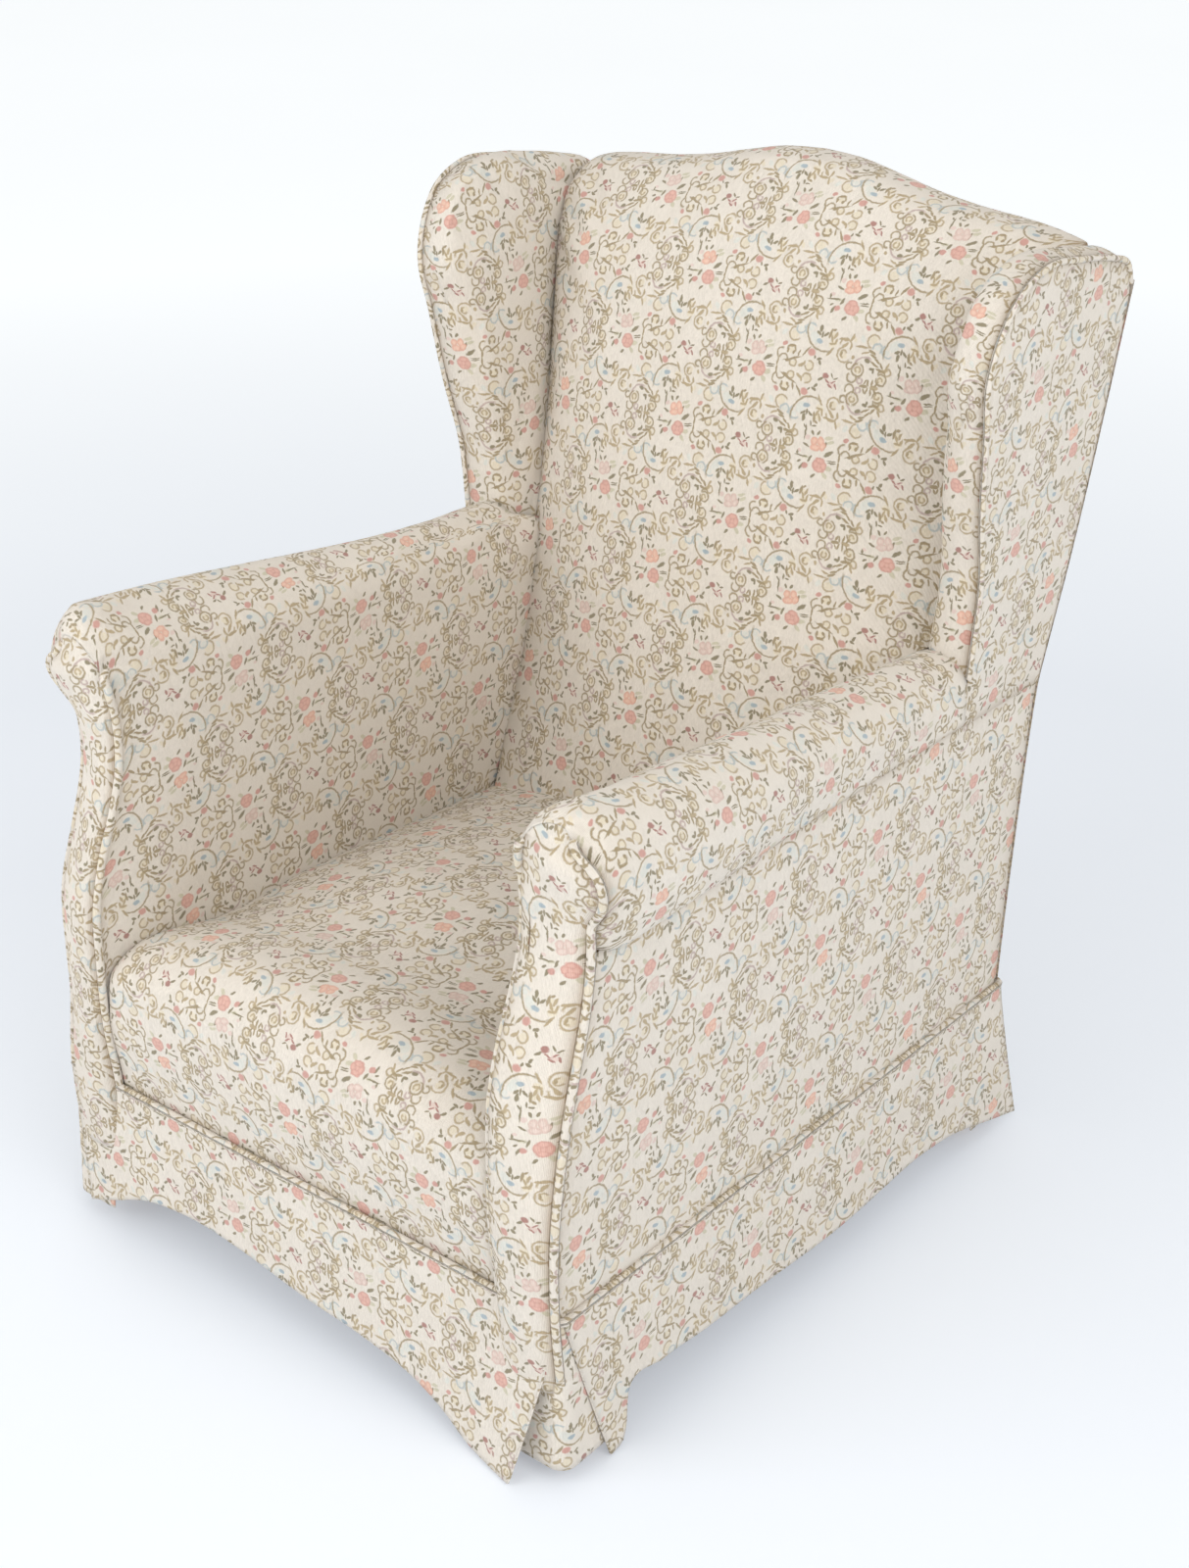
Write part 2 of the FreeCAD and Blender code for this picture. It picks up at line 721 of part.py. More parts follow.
wing_block = wing_form(0.0)
wing_core = wing_form(cover_thickness)
board_room = side_prism(wing_runs(wing_padding)).common(side_slab(0.0, panel_thickness + wing_board))
wing_welt = wing_block.cut(wing_form(welt_width)).cut(arm_rail)
wing_welt = wing_welt.common(side_slab(panel_thickness, panel_thickness + welt_depth))
add_pair("wing_piping", wing_welt)
add_pair("wing_cover", cut(wing_block, wing_core, wing_welt, board_room, behind_lining, arm_rail, arm_block))
add_pair("wing_stuffing", cut(wing_core, wing_welt, board_room, behind_lining, arm_rail, arm_block))

# Outside panels

side_skin = side_slab(0.0, panel_thickness)
roll_drop = roll_radius + math.sqrt(roll_radius ** 2 - (body_half_width - arm_inner_x - roll_radius) ** 2)
roll_seam = outline((-far, 0), (-far, arm_top_front - roll_drop - clearance),
                    (arm_front_y, arm_top_front - roll_drop - clearance),
                    (wing_front_y, arm_top_back - flush_radius - clearance), (wing_front_y, panel_seam_z),
                    (far, panel_seam_z), (far, 0))
outside_arm = side_skin.common(side_prism(roll_seam)).cut(ahead_of_arm_front(panel_thickness))
outside_arm = outside_arm.common(before_back_panel)
add_pair("outside_arm", outside_arm)
outside_wing = side_skin.common(side_prism(wing_runs(0.0))).common(before_back_panel)
add_pair("outside_wing", outside_wing)

back_view = front_prism(outline((-body_half_width, foot_height), (body_half_width, foot_height),
                                (body_half_width, panel_seam_z), (outer_x(form_top), form_top),
                                (-outer_x(form_top), form_top), (-body_half_width, panel_seam_z)))
outside_back = back_band(0.0, back_panel_thickness).common(back_view).common(below_crest(crest_panel_drop))
nodes["outside_back"] = outside_back

dust_x = frame_x - dust_cover_margin
dust_back = back_y(foot_height) - back_panel_thickness - dust_cover_margin
dust_cover = box(-dust_x, dust_x, front_rail_y + dust_cover_margin, dust_back, dust_cover_z, web_underside)
foot_rooms = [peg((x, y, 0), (0, 0, 1), foot_top_radius + dust_cover_notch, foot_height)
              for x, y in (front_foot, back_foot)]
nodes["dust_cover"] = cut(dust_cover, *both(foot_rooms), *tack_holes)

# Skirt: four arched panels under a corded welt, with a lapped pleat behind each open corner

skirt_front = arm_front_y + reading(arm_front_line, welt_z)
skirt_back = back_y(welt_z)
skirt_mid = (skirt_front + skirt_back) / 2
skirt_top = welt_z - cord_radius - clearance
skirt_stand = pleat_thickness + 2 * clearance
cord_offset = cord_radius + clearance


def welt_cord():
    x = body_half_width + cord_offset
    y0 = skirt_front - cord_offset
    y1 = skirt_back + cord_offset
    r = cord_corner
    d = r * (1 - math.sqrt(0.5))

    def at(px, py):
        return V(px, py, welt_z)

    loop = [Part.LineSegment(at(x, skirt_mid), at(x, y1 - r)).toShape(),
            Part.Arc(at(x, y1 - r), at(x - d, y1 - d), at(x - r, y1)).toShape(),
            Part.LineSegment(at(x - r, y1), at(r - x, y1)).toShape(),
            Part.Arc(at(r - x, y1), at(d - x, y1 - d), at(-x, y1 - r)).toShape(),
            Part.LineSegment(at(-x, y1 - r), at(-x, y0 + r)).toShape(),
            Part.Arc(at(-x, y0 + r), at(d - x, y0 + d), at(r - x, y0)).toShape(),
            Part.LineSegment(at(r - x, y0), at(x - r, y0)).toShape(),
            Part.Arc(at(x - r, y0), at(x - d, y0 + d), at(x, y0 + r)).toShape(),
            Part.LineSegment(at(x, y0 + r), at(x, skirt_mid)).toShape()]
    section = Part.Wire(Part.makeCircle(cord_radius, at(x, skirt_mid), V(0, 1, 0)))
    return Part.Wire(loop).makePipeShell([section], True, False)


nodes["skirt_welt"] = welt_cord()


def skirt_panel(half_length, place):
    """Panel in its own (along, outward, up) frame: hem arched, ends leaning in and flaring out."""
    sections = []
    for share in (-1.0, -0.82, -0.5, 0.0, 0.5, 0.82, 1.0):
        end = share ** 4
        hem = skirt_hem_z + skirt_arch * (1 - end)
        flare = skirt_flare_middle + (skirt_flare_end - skirt_flare_middle) * end

        def at(out, z):
            fallen = (skirt_top - z) / (skirt_top - skirt_hem_z)
            return place(share * (half_length - skirt_end_lean * fallen), out, z)

        outer = skirt_stand + skirt_thickness
        points = (at(skirt_stand, skirt_top), at(skirt_stand + flare, hem),
                  at(outer + flare, hem), at(outer, skirt_top))
        sections.append(Part.makePolygon(points + points[:1]))
    return loft(sections)


along_half = (skirt_back - skirt_front) / 2
nodes["skirt_front"] = skirt_panel(body_half_width, lambda u, out, z: V(u, skirt_front - out, z))
nodes["skirt_back"] = skirt_panel(body_half_width, lambda u, out, z: V(-u, skirt_back + out, z))
add_pair("skirt_side", skirt_panel(along_half, lambda u, out, z: V(body_half_width + out, skirt_mid + u, z)))


def pleat_ring(out, corner, z):
    """Rounded L in plan, round the front left corner, standing out by out."""
    x, y, t = body_half_width + out, skirt_front - out, pleat_thickness
    end_x, end_y = body_half_width - pleat_leg, skirt_front + pleat_leg
    bend = corner * (1 - math.sqrt(0.5))
    inner = corner - t
    inner_bend = inner * (1 - math.sqrt(0.5))

    def at(px, py):
        return V(px, py, z)

    return Part.Wire([
        Part.LineSegment(at(end_x, y - t), at(x + t - corner, y - t)).toShape(),
        Part.Arc(at(x + t - corner, y - t), at(x + t - bend, y - t + bend),
                 at(x + t, y - t + corner)).toShape(),
        Part.LineSegment(at(x + t, y - t + corner), at(x + t, end_y)).toShape(),
        Part.LineSegment(at(x + t, end_y), at(x, end_y)).toShape(),
        Part.LineSegment(at(x, end_y), at(x, y + inner)).toShape(),
        Part.Arc(at(x, y + inner), at(x - inner_bend, y + inner_bend), at(x - inner, y)).toShape(),
        Part.LineSegment(at(x - inner, y), at(end_x, y)).toShape(),
        Part.LineSegment(at(end_x, y), at(end_x, y - t)).toShape()])


pleat = loft([pleat_ring(clearance, pleat_corner_top, skirt_top),
              pleat_ring(clearance + pleat_flare, pleat_corner_hem, pleat_hem_z)], True)
back_pleat = pleat.mirror(V(0, skirt_mid, 0), V(0, 1, 0))
nodes["skirt_pleats"] = Part.makeCompound(both([pleat, back_pleat]))

os.makedirs("parts", exist_ok=True)
for name, shape in nodes.items():
    shape.exportStep("parts/" + name + ".step")
print(len(nodes), "nodes; feet at", [round(c, 1) for c in front_foot + back_foot])
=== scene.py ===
# %% [markdown]
# # A skirted wing armchair in floral tapestry
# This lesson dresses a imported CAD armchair. The timber, springs and webbing stay as they are; every cover
# and pad that the CAD holds as a plain solid is stood for by cloth made here. Sizes are in metres, in the
# chair's own frame: the sitter faces -Y, +X is the sitter's left, and the floor is at zero.

# %% Load the chair
import math

import bmesh
import bpy
import mathutils
import numpy as np
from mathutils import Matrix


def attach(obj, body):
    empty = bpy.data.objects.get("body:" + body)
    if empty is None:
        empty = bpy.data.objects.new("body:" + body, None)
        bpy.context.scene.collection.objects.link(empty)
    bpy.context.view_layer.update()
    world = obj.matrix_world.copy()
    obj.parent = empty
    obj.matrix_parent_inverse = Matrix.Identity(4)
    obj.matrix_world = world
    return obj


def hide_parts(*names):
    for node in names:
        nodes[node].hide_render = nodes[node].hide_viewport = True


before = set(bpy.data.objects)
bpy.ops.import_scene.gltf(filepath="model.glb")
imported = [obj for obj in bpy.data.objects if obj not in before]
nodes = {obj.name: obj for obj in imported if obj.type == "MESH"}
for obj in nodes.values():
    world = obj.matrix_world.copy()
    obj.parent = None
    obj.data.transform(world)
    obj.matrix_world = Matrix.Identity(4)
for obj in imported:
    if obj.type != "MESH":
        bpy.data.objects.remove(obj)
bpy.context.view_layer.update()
scene = bpy.context.scene
print(len(nodes), "CAD nodes in the frame")

# %% [markdown]
# ## Writing materials as sums
# A woven pattern needs hundreds of small shader nodes, and placing them one by one hides what they do.
# They could be drawn by hand in the shader editor, or stored as an image, but an image holds no reasons.
# Here one small class wraps an output socket, so that `1 - mask` or `a * b` adds the Math nodes by itself,
# and one method adds any other kind of node.

# %% A socket that can do arithmetic, and a material that grows nodes
class Wire:
    """One output socket. Arithmetic with it adds Math nodes to its material."""

    def __init__(self, paint, socket):
        self.paint, self.socket = paint, socket

    def maths(self, operation, *values, clamp=False):
        settings = {"operation": operation, "use_clamp": clamp}
        return self.paint.node("ShaderNodeMath", settings, dict(enumerate((self,) + values)))

    def __add__(self, other):
        return self.maths("ADD", other)

    __radd__ = __add__

    def __sub__(self, other):
        return self.maths("SUBTRACT", other)

    def __rsub__(self, other):
        return self.paint.node("ShaderNodeMath", {"operation": "SUBTRACT"}, {0: other, 1: self})

    def __mul__(self, other):
        return self.maths("MULTIPLY", other)

    __rmul__ = __mul__

    def least(self, other):
        return self.maths("MINIMUM", other)

    def most(self, other):
        return self.maths("MAXIMUM", other)


class Paint:
    """A material under construction."""

    def __init__(self, name):
        self.material = bpy.data.materials.new(name)
        self.material.use_nodes = True
        self.tree = self.material.node_tree
        self.shader = self.tree.nodes["Principled BSDF"]

    def node(self, kind, settings={}, values={}, output=0):
        made = self.tree.nodes.new(kind)
        for key, setting in settings.items():
            if isinstance(setting, dict):
                for part, value in setting.items():
                    setattr(getattr(made, key), part, value)
            else:
                setattr(made, key, setting)
        for key, value in values.items():
            if isinstance(value, Wire):
                self.tree.links.new(value.socket, made.inputs[key])
            else:
                made.inputs[key].default_value = value
        return Wire(self, made.outputs[output])

    def vector(self, operation, *values, output=0):
        return self.node("ShaderNodeVectorMath", {"operation": operation}, dict(enumerate(values)), output)

    def parts(self, vector):
        made = self.node("ShaderNodeSeparateXYZ", {}, {0: vector}).socket.node
        return [Wire(self, made.outputs[i]) for i in range(3)]

    def mix(self, share, low, high, blend="MIX"):
        settings = {"data_type": "RGBA", "blend_type": blend}
        return self.node("ShaderNodeMix", settings, {0: share, 6: low, 7: high}, output=2)

    def noise(self, place, scale, detail=2.0):
        return self.node("ShaderNodeTexNoise", {}, {"Vector": place, "Scale": scale, "Detail": detail})

    def finish(self, bump=None, distance=0.001, **sockets):
        for name, value in sockets.items():
            socket = self.shader.inputs[name.replace("_", " ")]
            if isinstance(value, Wire):
                self.tree.links.new(value.socket, socket)
            else:
                socket.default_value = value
        if bump is not None:
            values = {"Strength": 1.0, "Distance": distance, "Height": bump}
            normal = self.node("ShaderNodeBump", {}, values)
            self.tree.links.new(normal.socket, self.shader.inputs["Normal"])
        print(self.material.name, len(self.tree.nodes), "nodes")
        return self.material


def shade(red, green, blue):
    """A colour as it is seen on a screen, 0 to 255, turned into the linear values that shaders use."""
    linear = [((v / 255 + 0.055) / 1.055) ** 2.4 if v > 10 else v / 3295 for v in (red, green, blue)]
    return (*linear, 1.0)


# %% [markdown]
# ## The tapestry
# The whole chair wears one cloth: a cream ribbed tapestry with rose sprays, curled scrolls, blue-eyed
# arches and little dark sprigs. An image could hold it, but it would blur close up and carry its own
# light and shade. The cloth's own order makes it short to write instead: rows 81 mm apart, each a half
# repeat along from the last, and every scroll mirrored about its row. So each motif is placed once, in
# millimetres from a rose, and the folded coordinates repeat it over the cloth. Each piece carries a UV map
# in metres, called cloth, so the threads run up every panel as the upholsterer cut it.

# %% The repeat, and the colours of the threads
REPEAT = 182.0
ROW = 81.5
CELL_START = -28.5
RIB = 1.25
THREADS = {
    "yellow": shade(231, 221, 200),
    "pale_blue": shade(225, 226, 219),
    "pale_leaf": shade(208, 203, 180),
    "blush": shade(228, 207, 199),
    "tan": shade(183, 165, 133),
    "olive": shade(162, 146, 115),
    "leaf": shade(138, 129, 103),
    "mauve": shade(192, 171, 167),
    "blue": shade(184, 194, 196),
    "deep_blue": shade(166, 183, 193),
    "rose": shade(208, 157, 148),
    "wine": shade(172, 124, 117),
}
print(len(THREADS), "colours of thread in a repeat of", REPEAT, "mm")

# %% Motifs, in millimetres from a rose: curls are arcs, and leaves, stems and petals are ellipses
# A leaf: x, y, half length, half width, slant.
# A curl: x, y, radius, half its sweep, the way its middle faces.
FOLDED_LEAVES = {
    "yellow": ((38, 18, 5, 3.8, 0), (42.5, 6.2, 3.8, 2.6, 0), (61.5, 6.5, 4.4, 4.4, 0),
               (117, 15, 5.4, 5.4, 0), (144.5, 9, 4.8, 4.8, 0), (37, 34.5, 6.2, 5.6, 0),
               (16.5, 37.5, 4, 2.4, 60), (83.5, 33.5, 6, 4.4, 30), (-9.5, 39.5, 2.8, 4, 0),
               (147, 18.5, 4.4, 3.4, 20), (98, 25.5, 5, 4.4, 0)),
    "pale_blue": ((61.5, 36, 9, 5.6, -48), (25, 35.5, 5, 3, 55), (43, 41.5, 3.8, 3.2, 0),
                  (145, 37, 4.4, 3.6, 0)),
    "tan": ((37.5, 22.6, 5.6, 1.7, 8), (52.5, 6, 5.2, 2.2, 32), (55.6, 8.6, 3.2, 1.5, 80),
            (83, 33.6, 5.4, 1.7, 5), (81.4, 38.4, 4.8, 1.6, 110), (86.6, 36.6, 4.8, 1.6, 76),
            (82, 25, 7.2, 1.6, 55), (97.5, 36, 5.6, 2.2, 45), (104.6, 35.4, 4, 1.5, 76),
            (13.4, 36.2, 5.2, 1.7, 110), (5, 40.4, 6.6, 1.5, -2), (-6.4, 39.2, 5.2, 1.8, 112),
            (117, 38.4, 9, 1.6, 3), (109, 26, 2.8, 2, 80), (138.4, 0.6, 5.8, 1.8, 0),
            (146, 18.4, 5.6, 2.2, 30), (148.6, 24.4, 4.4, 1.5, 62), (122, 33.6, 6, 1.4, 22),
            (92, 41, 4, 1.4, 10)),
    "olive": ((24, 4, 5.6, 1.4, 88), (40, 10, 13.4, 1.5, 21), (55, 20.4, 8, 1.5, 55),
              (47, 17, 4.8, 1.3, 80), (33.6, 17, 3.2, 1.5, 80), (40.6, 16.6, 2.8, 1.9, 60),
              (36, 7.4, 4.2, 1.8, 20), (-12.6, 38.4, 6.2, 2, 100), (-9.2, 34, 2.8, 1.6, 150),
              (127, 0.6, 5.8, 1.5, 0), (131, 4, 4.2, 1.3, 104), (135.6, 4.6, 4.8, 1.4, 86),
              (140.6, 4, 4.2, 1.3, 58), (128, 4.6, 3.6, 1.2, 62), (142, 23, 4.8, 1.5, 125),
              (140, 18.6, 4.8, 1.7, 170), (133.6, 24, 7, 1.5, -28), (136.6, 27.4, 5, 1.3, -42),
              (129, 35.2, 5.8, 1.9, -25), (95, 26.4, 3.2, 1.6, 75), (131, 31.6, 5, 1.5, -14)),
    "leaf": ((65, 41, 4.2, 1.8, 142), (73.4, 41, 4.2, 1.8, 38), (69.2, 40, 3.8, 1.4, 90),
             (-24.5, 35.6, 5, 2.4, 86), (72, 15.4, 3.8, 1.8, 18), (73.2, 11.6, 3.4, 1.7, 122),
             (66.2, 16.4, 2.6, 1.3, 118), (125.6, 26, 4, 2.6, -20), (132, 18.6, 3.6, 2, 4),
             (134.2, 16.4, 3, 1.6, 90)),
    "deep_blue": ((67.5, 33.2, 4.9, 2.9, -8),),
    "rose": ((61.6, 20.4, 5.4, 4.6, 14), (28, 23.6, 3.8, 2.8, 28)),
}
FOLDED_CURLS = {
    "blue": ((43, 42, 5, 105, 285), (146, 38.5, 6.4, 78, 222)),
    "mauve": ((124, 17, 12, 42, 125), (121.5, 5, 2.8, 150, 250)),
    "tan": ((37.5, 35.5, 6.9, 98, 215), (61.5, 6.5, 4.9, 125, -35), (98, 36, 6.6, 72, 92),
            (98, 26, 7.4, 98, 215), (97.6, 27, 3.4, 105, 150), (117, 15.4, 2.9, 140, 95),
            (143.6, 8.6, 2.4, 125, 120), (150, 18, 3.7, 118, 10), (42.2, 6.4, 3.8, 120, 300)),
    "olive": ((27, 13, 5.7, 64, 165), (30, 8, 4.7, 82, 80), (37.4, 18.6, 4.8, 84, 92),
              (107, 17, 3.4, 142, 215), (117, 14.8, 6.5, 150, 268), (112, 6, 4.9, 116, 270),
              (144.5, 9, 5.5, 142, 325), (144, 14.6, 3.4, 95, 100), (73, 46, 22.3, 43, 231)),
}
SPRAY_LEAVES = {
    "pale_leaf": ((8.6, 21.4, 6, 2.2, 20), (11.4, 17.6, 5.4, 2.2, 26), (13.4, -9.4, 5.6, 3, 12),
                  (10.4, -17, 5, 2.6, -40), (-15, -3.6, 5.6, 2, 8)),
    "leaf": ((11.2, 5.6, 7.2, 2.6, 36), (5.8, 13, 5.6, 1.6, 78), (-16, 8.6, 5, 1.6, 160),
             (-19.2, 21.4, 9.4, 1.2, 92), (-15, 31, 3.6, 1.3, 98), (-10.6, 29.6, 3.2, 1.2, 4),
             (-21.4, 27.4, 3, 1.2, 122), (-10.6, 22.4, 3.4, 1.7, 118), (-4, 24, 3.4, 1.7, 62),
             (16, -1, 6.4, 0.9, 8), (16.4, -3, 6, 0.9, 9), (-20, -3.6, 9.6, 1.0, 3),
             (-24.6, -1, 3.2, 1.5, 82), (-9.4, -4.4, 5, 1.7, 66), (-18, -14.4, 5.2, 1.8, 66),
             (-2.6, -20.4, 4, 1.7, 44), (-21, -9.6, 3, 1.4, 30), (90, 2.6, 3.6, 1.2, 128),
             (95, 0.4, 3.4, 1.1, 22), (78, -3.6, 4.2, 1.7, 34)),
    "blush": ((-15.6, 16.8, 3.8, 3, 20), (-22.4, 1.4, 2.8, 2, 0), (91.6, -6.2, 4.2, 3, -34)),
    "rose": ((-13.6, -12.4, 4.4, 3.6, 30),),
    "wine": ((83, 0.6, 4.4, 3.6, 4), (86, -4.6, 4, 1.1, -34), (89.6, -8.6, 4.2, 1.2, -28),
             (96, -7.4, 3.6, 1.3, -64), (92.6, -3.6, 3.8, 1.1, 34)),
}
UPPER_PETALS = ((-7.4, 14.4, 5.6, 4.6, 62), (0.2, 16, 5.8, 4.4, 100), (3, 11.4, 5.6, 4, 62),
                (-5, 8.4, 7.4, 4.2, 10))
LOWER_PETALS = ((3, -3.4, 6.8, 4, 0), (-1.8, -8.2, 5.8, 4.4, 82), (7.6, -8, 5.8, 4.4, 98),
                (3, -8.4, 4, 4, 0), (3.2, -12.6, 7.4, 3.6, 0))


def with_twins(motifs, folds):
    """Motifs that cross a border of the cell, drawn again where their other half comes in."""
    drawn = []
    for x, y, reach, *rest in motifs:
        places = [(x, y, rest)]
        if folds and y + reach > ROW / 2:
            places.append((x - REPEAT / 2, ROW - y, (rest[0], -rest[1])))
        for place_x, place_y, others in places:
            for turn in (-REPEAT, 0.0, REPEAT):
                if CELL_START - reach < place_x + turn < CELL_START + REPEAT + reach:
                    drawn.append((place_x + turn, place_y, reach, *others))
    return drawn


for table in (FOLDED_LEAVES, FOLDED_CURLS, SPRAY_LEAVES):
    print({tone: len(motifs) for tone, motifs in table.items()}, "motifs of each colour")

# %% Fields that say how near each point of the cloth is to a motif
def field(place, kind, x, y, long, wide, slant):
    """A gradient laid over one motif: its own mapping moves, turns and sizes it."""
    mapping = {"vector_type": "TEXTURE", "translation": (x, y, 0), "scale": (long, wide, 1),
               "rotation": (0, 0, math.radians(slant))}
    settings = {"gradient_type": kind, "texture_mapping": mapping}
    return place.paint.node("ShaderNodeTexGradient", settings, {"Vector": place}, output=1)


def leaf(place, x, y, long, wide, slant):
    """1 at the middle of a leaf and 0 from its edge outwards."""
    return field(place, "SPHERICAL", x, y, long, wide, slant)


def curl(place, x, y, radius, sweep, facing):
    """Millimetres in from the line of an arc, as a number at or below 0."""
    ring = field(place, "SPHERICAL", x, y, 2 * radius, 2 * radius, facing).maths("PINGPONG", 0.5)
    turn = field(place, "RADIAL", x, y, 1, 1, facing).maths("PINGPONG", 0.5)
    inside = turn.maths("MULTIPLY_ADD", 20.0, -20.0 * (0.5 - sweep / 360))
    return ring.maths("MULTIPLY_ADD", 2 * radius, -radius).least(inside)


def nearest(place, motifs, measure):
    found = measure(place, *motifs[0])
    for motif in motifs[1:]:
        found = found.most(measure(place, *motif))
    return found


def over(value, limit, soft):
    """1 where the value is above the limit and 0 below it, over a soft edge."""
    return value.maths("MULTIPLY_ADD", 1 / soft, 0.5 - limit / soft, clamp=True)


# %% The cloth's shader
STITCH = 0.45
SWAY = 2.6
COVERAGE = 0.94
LEAF_EDGE, CURL_EDGE = (0.18, 0.32), (-0.95, 1.2)
PETAL_EDGE, PETAL_FOLD = (0.15, 0.28), (0.40, 0.6)
GROUND = (shade(229, 221, 210), shade(238, 232, 223))
UPPER_EDGES = (shade(224, 164, 143), shade(215, 184, 174))
UPPER_MIDDLES = (shade(240, 203, 185), shade(234, 215, 206))
LOWER_EDGE, LOWER_MIDDLE = shade(206, 150, 140), shade(230, 186, 174)
# The last colour on the next line is painted shade, laid over seams and creases.
SHADED_THREAD, FLECK, PAINTED_SHADE_TONE = shade(150, 136, 112), shade(166, 150, 126), shade(150, 126, 92)


def repeat_places(paint, woven):
    """The cloth's place within one repeat, upright and folded about its row, and which rows are odd."""
    across, up, _ = paint.parts(woven)
    row = (up * (1 / ROW)).maths("ROUND")
    rise = up - row * ROW
    along = (across - row * (REPEAT / 2)).maths("WRAP", CELL_START + REPEAT, CELL_START)
    upright = paint.node("ShaderNodeCombineXYZ", {}, {0: along, 1: rise})
    folded = paint.node("ShaderNodeCombineXYZ", {}, {0: along, 1: rise.maths("ABSOLUTE")})
    return upright, folded, row.maths("FLOORED_MODULO", 2.0)


def tapestry(name):
    paint = Paint(name)
    cloth = paint.node("ShaderNodeUVMap", {"uv_map": "cloth"})
    flat = paint.vector("MULTIPLY", cloth, (1000, 1000, 1000))
    across, _, _ = paint.parts(flat)
    sway = paint.node("ShaderNodeTexNoise", {}, {"Vector": flat, "Scale": 0.22, "Detail": 2.0}, output=1)
    centred = paint.vector("SUBTRACT", flat, (SWAY / 2, SWAY / 2, 0))
    swayed = paint.vector("MULTIPLY_ADD", sway, (SWAY, SWAY, 0), centred)
    woven = paint.vector("SNAP", swayed, (STITCH, STITCH, 1.0))
    upright, folded, odd = repeat_places(paint, woven)
    wander = paint.noise(flat, 0.5, 3.0) - 0.5
    fray = 1.0 + wander * 1.1
    blur = wander * 0.9

    hue = paint.mix(paint.noise(cloth, 9.0, 3.0), *GROUND)
    layers = ((FOLDED_LEAVES, folded, leaf), (FOLDED_CURLS, folded, curl), (SPRAY_LEAVES, upright, leaf))
    for table, place, measure in layers:
        for tone, motifs in table.items():
            found = nearest(place, with_twins(motifs, place is folded), measure)
            if measure is curl:
                shown = over(found + blur, *CURL_EDGE)
            else:
                shown = over(found * fray, *LEAF_EDGE)
            hue = paint.mix(shown * COVERAGE, hue, THREADS[tone])
    blooms = ((UPPER_PETALS, paint.mix(odd, *UPPER_EDGES), paint.mix(odd, *UPPER_MIDDLES)),
              (LOWER_PETALS, LOWER_EDGE, LOWER_MIDDLE))
    for petals, edge, middle in blooms:
        reach = nearest(upright, petals, leaf) * fray
        hue = paint.mix(over(reach, *PETAL_EDGE), hue, paint.mix(over(reach, *PETAL_FOLD), edge, middle))

    rib = (across * (2 * math.pi / RIB)).maths("SINE")
    slub = paint.noise(paint.vector("MULTIPLY", flat, (1.6, 0.25, 1.0)), 1.0, 2.0)
    thread = rib * 0.35 + slub
    hue = paint.mix(thread.maths("MULTIPLY_ADD", -0.22, 0.18, clamp=True), hue, SHADED_THREAD)
    fleck = paint.noise(flat, 0.35, 4.0).maths("MULTIPLY_ADD", 1.3, -0.55, clamp=True)
    hue = paint.mix(fleck * 0.12, hue, FLECK)
    # Painted shade: a per-point weight, mottled by noise, darkens the cloth in seams, creases and along
    # panel edges.
    painted_shade_weight = paint.node("ShaderNodeAttribute", {"attribute_name": "soil"}, output=2)
    painted_shade_share = ((paint.noise(cloth, 14.0, 3.0) + 0.5) * painted_shade_weight).maths("MULTIPLY", 1.0, clamp=True)
    hue = paint.mix(painted_shade_share, hue, PAINTED_SHADE_TONE, "MULTIPLY")
    return paint.finish(thread, 0.0005, Base_Color=hue, Roughness=0.92, Specular_IOR_Level=0.2,
                        Sheen_Weight=0.2, Sheen_Roughness=0.5)


tapestry_cloth = tapestry("tapestry_cloth")


# %% [markdown]
# ## The sizes of the chair, and rows of points
# Every cover is a sheet of cloth that follows a few measured lines: the arm's front edge, the wing's edge,
# the crest. Sculpting would lose those lines and a remesh would lose the weave's direction. So each piece
# is a grid of points with rows along the chair and columns across the cloth, worked out from the same sizes
# as the CAD. The grid knows how far the cloth has run in both directions, which is its UV map for free.

# %% Lines measured on the chair
BODY_X = 0.337
RAIL_UNDERSIDE = 0.105
SEAM_Z = 0.545
WING_FLARE = 0.073
WING_DEPTH, WING_NARROWS = 0.060, 0.007 / 0.380
ARM_IN_X = 0.262
ARM_FRONT_Y, ARM_FRONT_TOP = -0.429, 0.692
WING_FRONT_Y, ARM_BACK_TOP = 0.222, 0.620
WELT_Z = 0.186
SKIRT_FRONT_Y, SKIRT_BACK_Y = -0.4195, 0.338
BACK_LINE = ((0.105, 0.334), (0.186, 0.338), (0.354, 0.350), (0.536, 0.371), (0.673, 0.399), (0.985, 0.443),
             (1.090, 0.457))
CREST_LINE = ((0.0, 1.052), (0.045, 1.049), (0.095, 1.0385), (0.140, 1.028), (0.190, 1.020), (0.262, 1.013),
              (0.345, 0.999))
WING_LINE = ((0.222, 0.545), (0.222, 0.620), (0.219, 0.707), (0.201, 0.786), (0.187, 0.870), (0.178, 0.923),
             (0.188, 0.962), (0.214, 0.998), (0.255, 1.016), (0.330, 1.011), (0.390, 1.000), (0.424, 0.988),
             (0.437, 0.966))
BACK_FACE = ((0.294, 0.140, 0.004), (0.380, 0.178, 0.020), (0.480, 0.216, 0.034), (0.600, 0.252, 0.040),
             (0.750, 0.290, 0.040), (0.880, 0.320, 0.034), (0.950, 0.337, 0.022))
SEAT_FACE = ((-0.416, 0.105, 0.0), (-0.418, 0.186, 0.0), (-0.430, 0.285, 0.004), (-0.424, 0.330, 0.014),
             (-0.392, 0.348, 0.030), (-0.345, 0.347, 0.034), (-0.285, 0.334, 0.036), (-0.140, 0.333, 0.048),
             (0.020, 0.324, 0.044), (0.190, 0.312, 0.034))
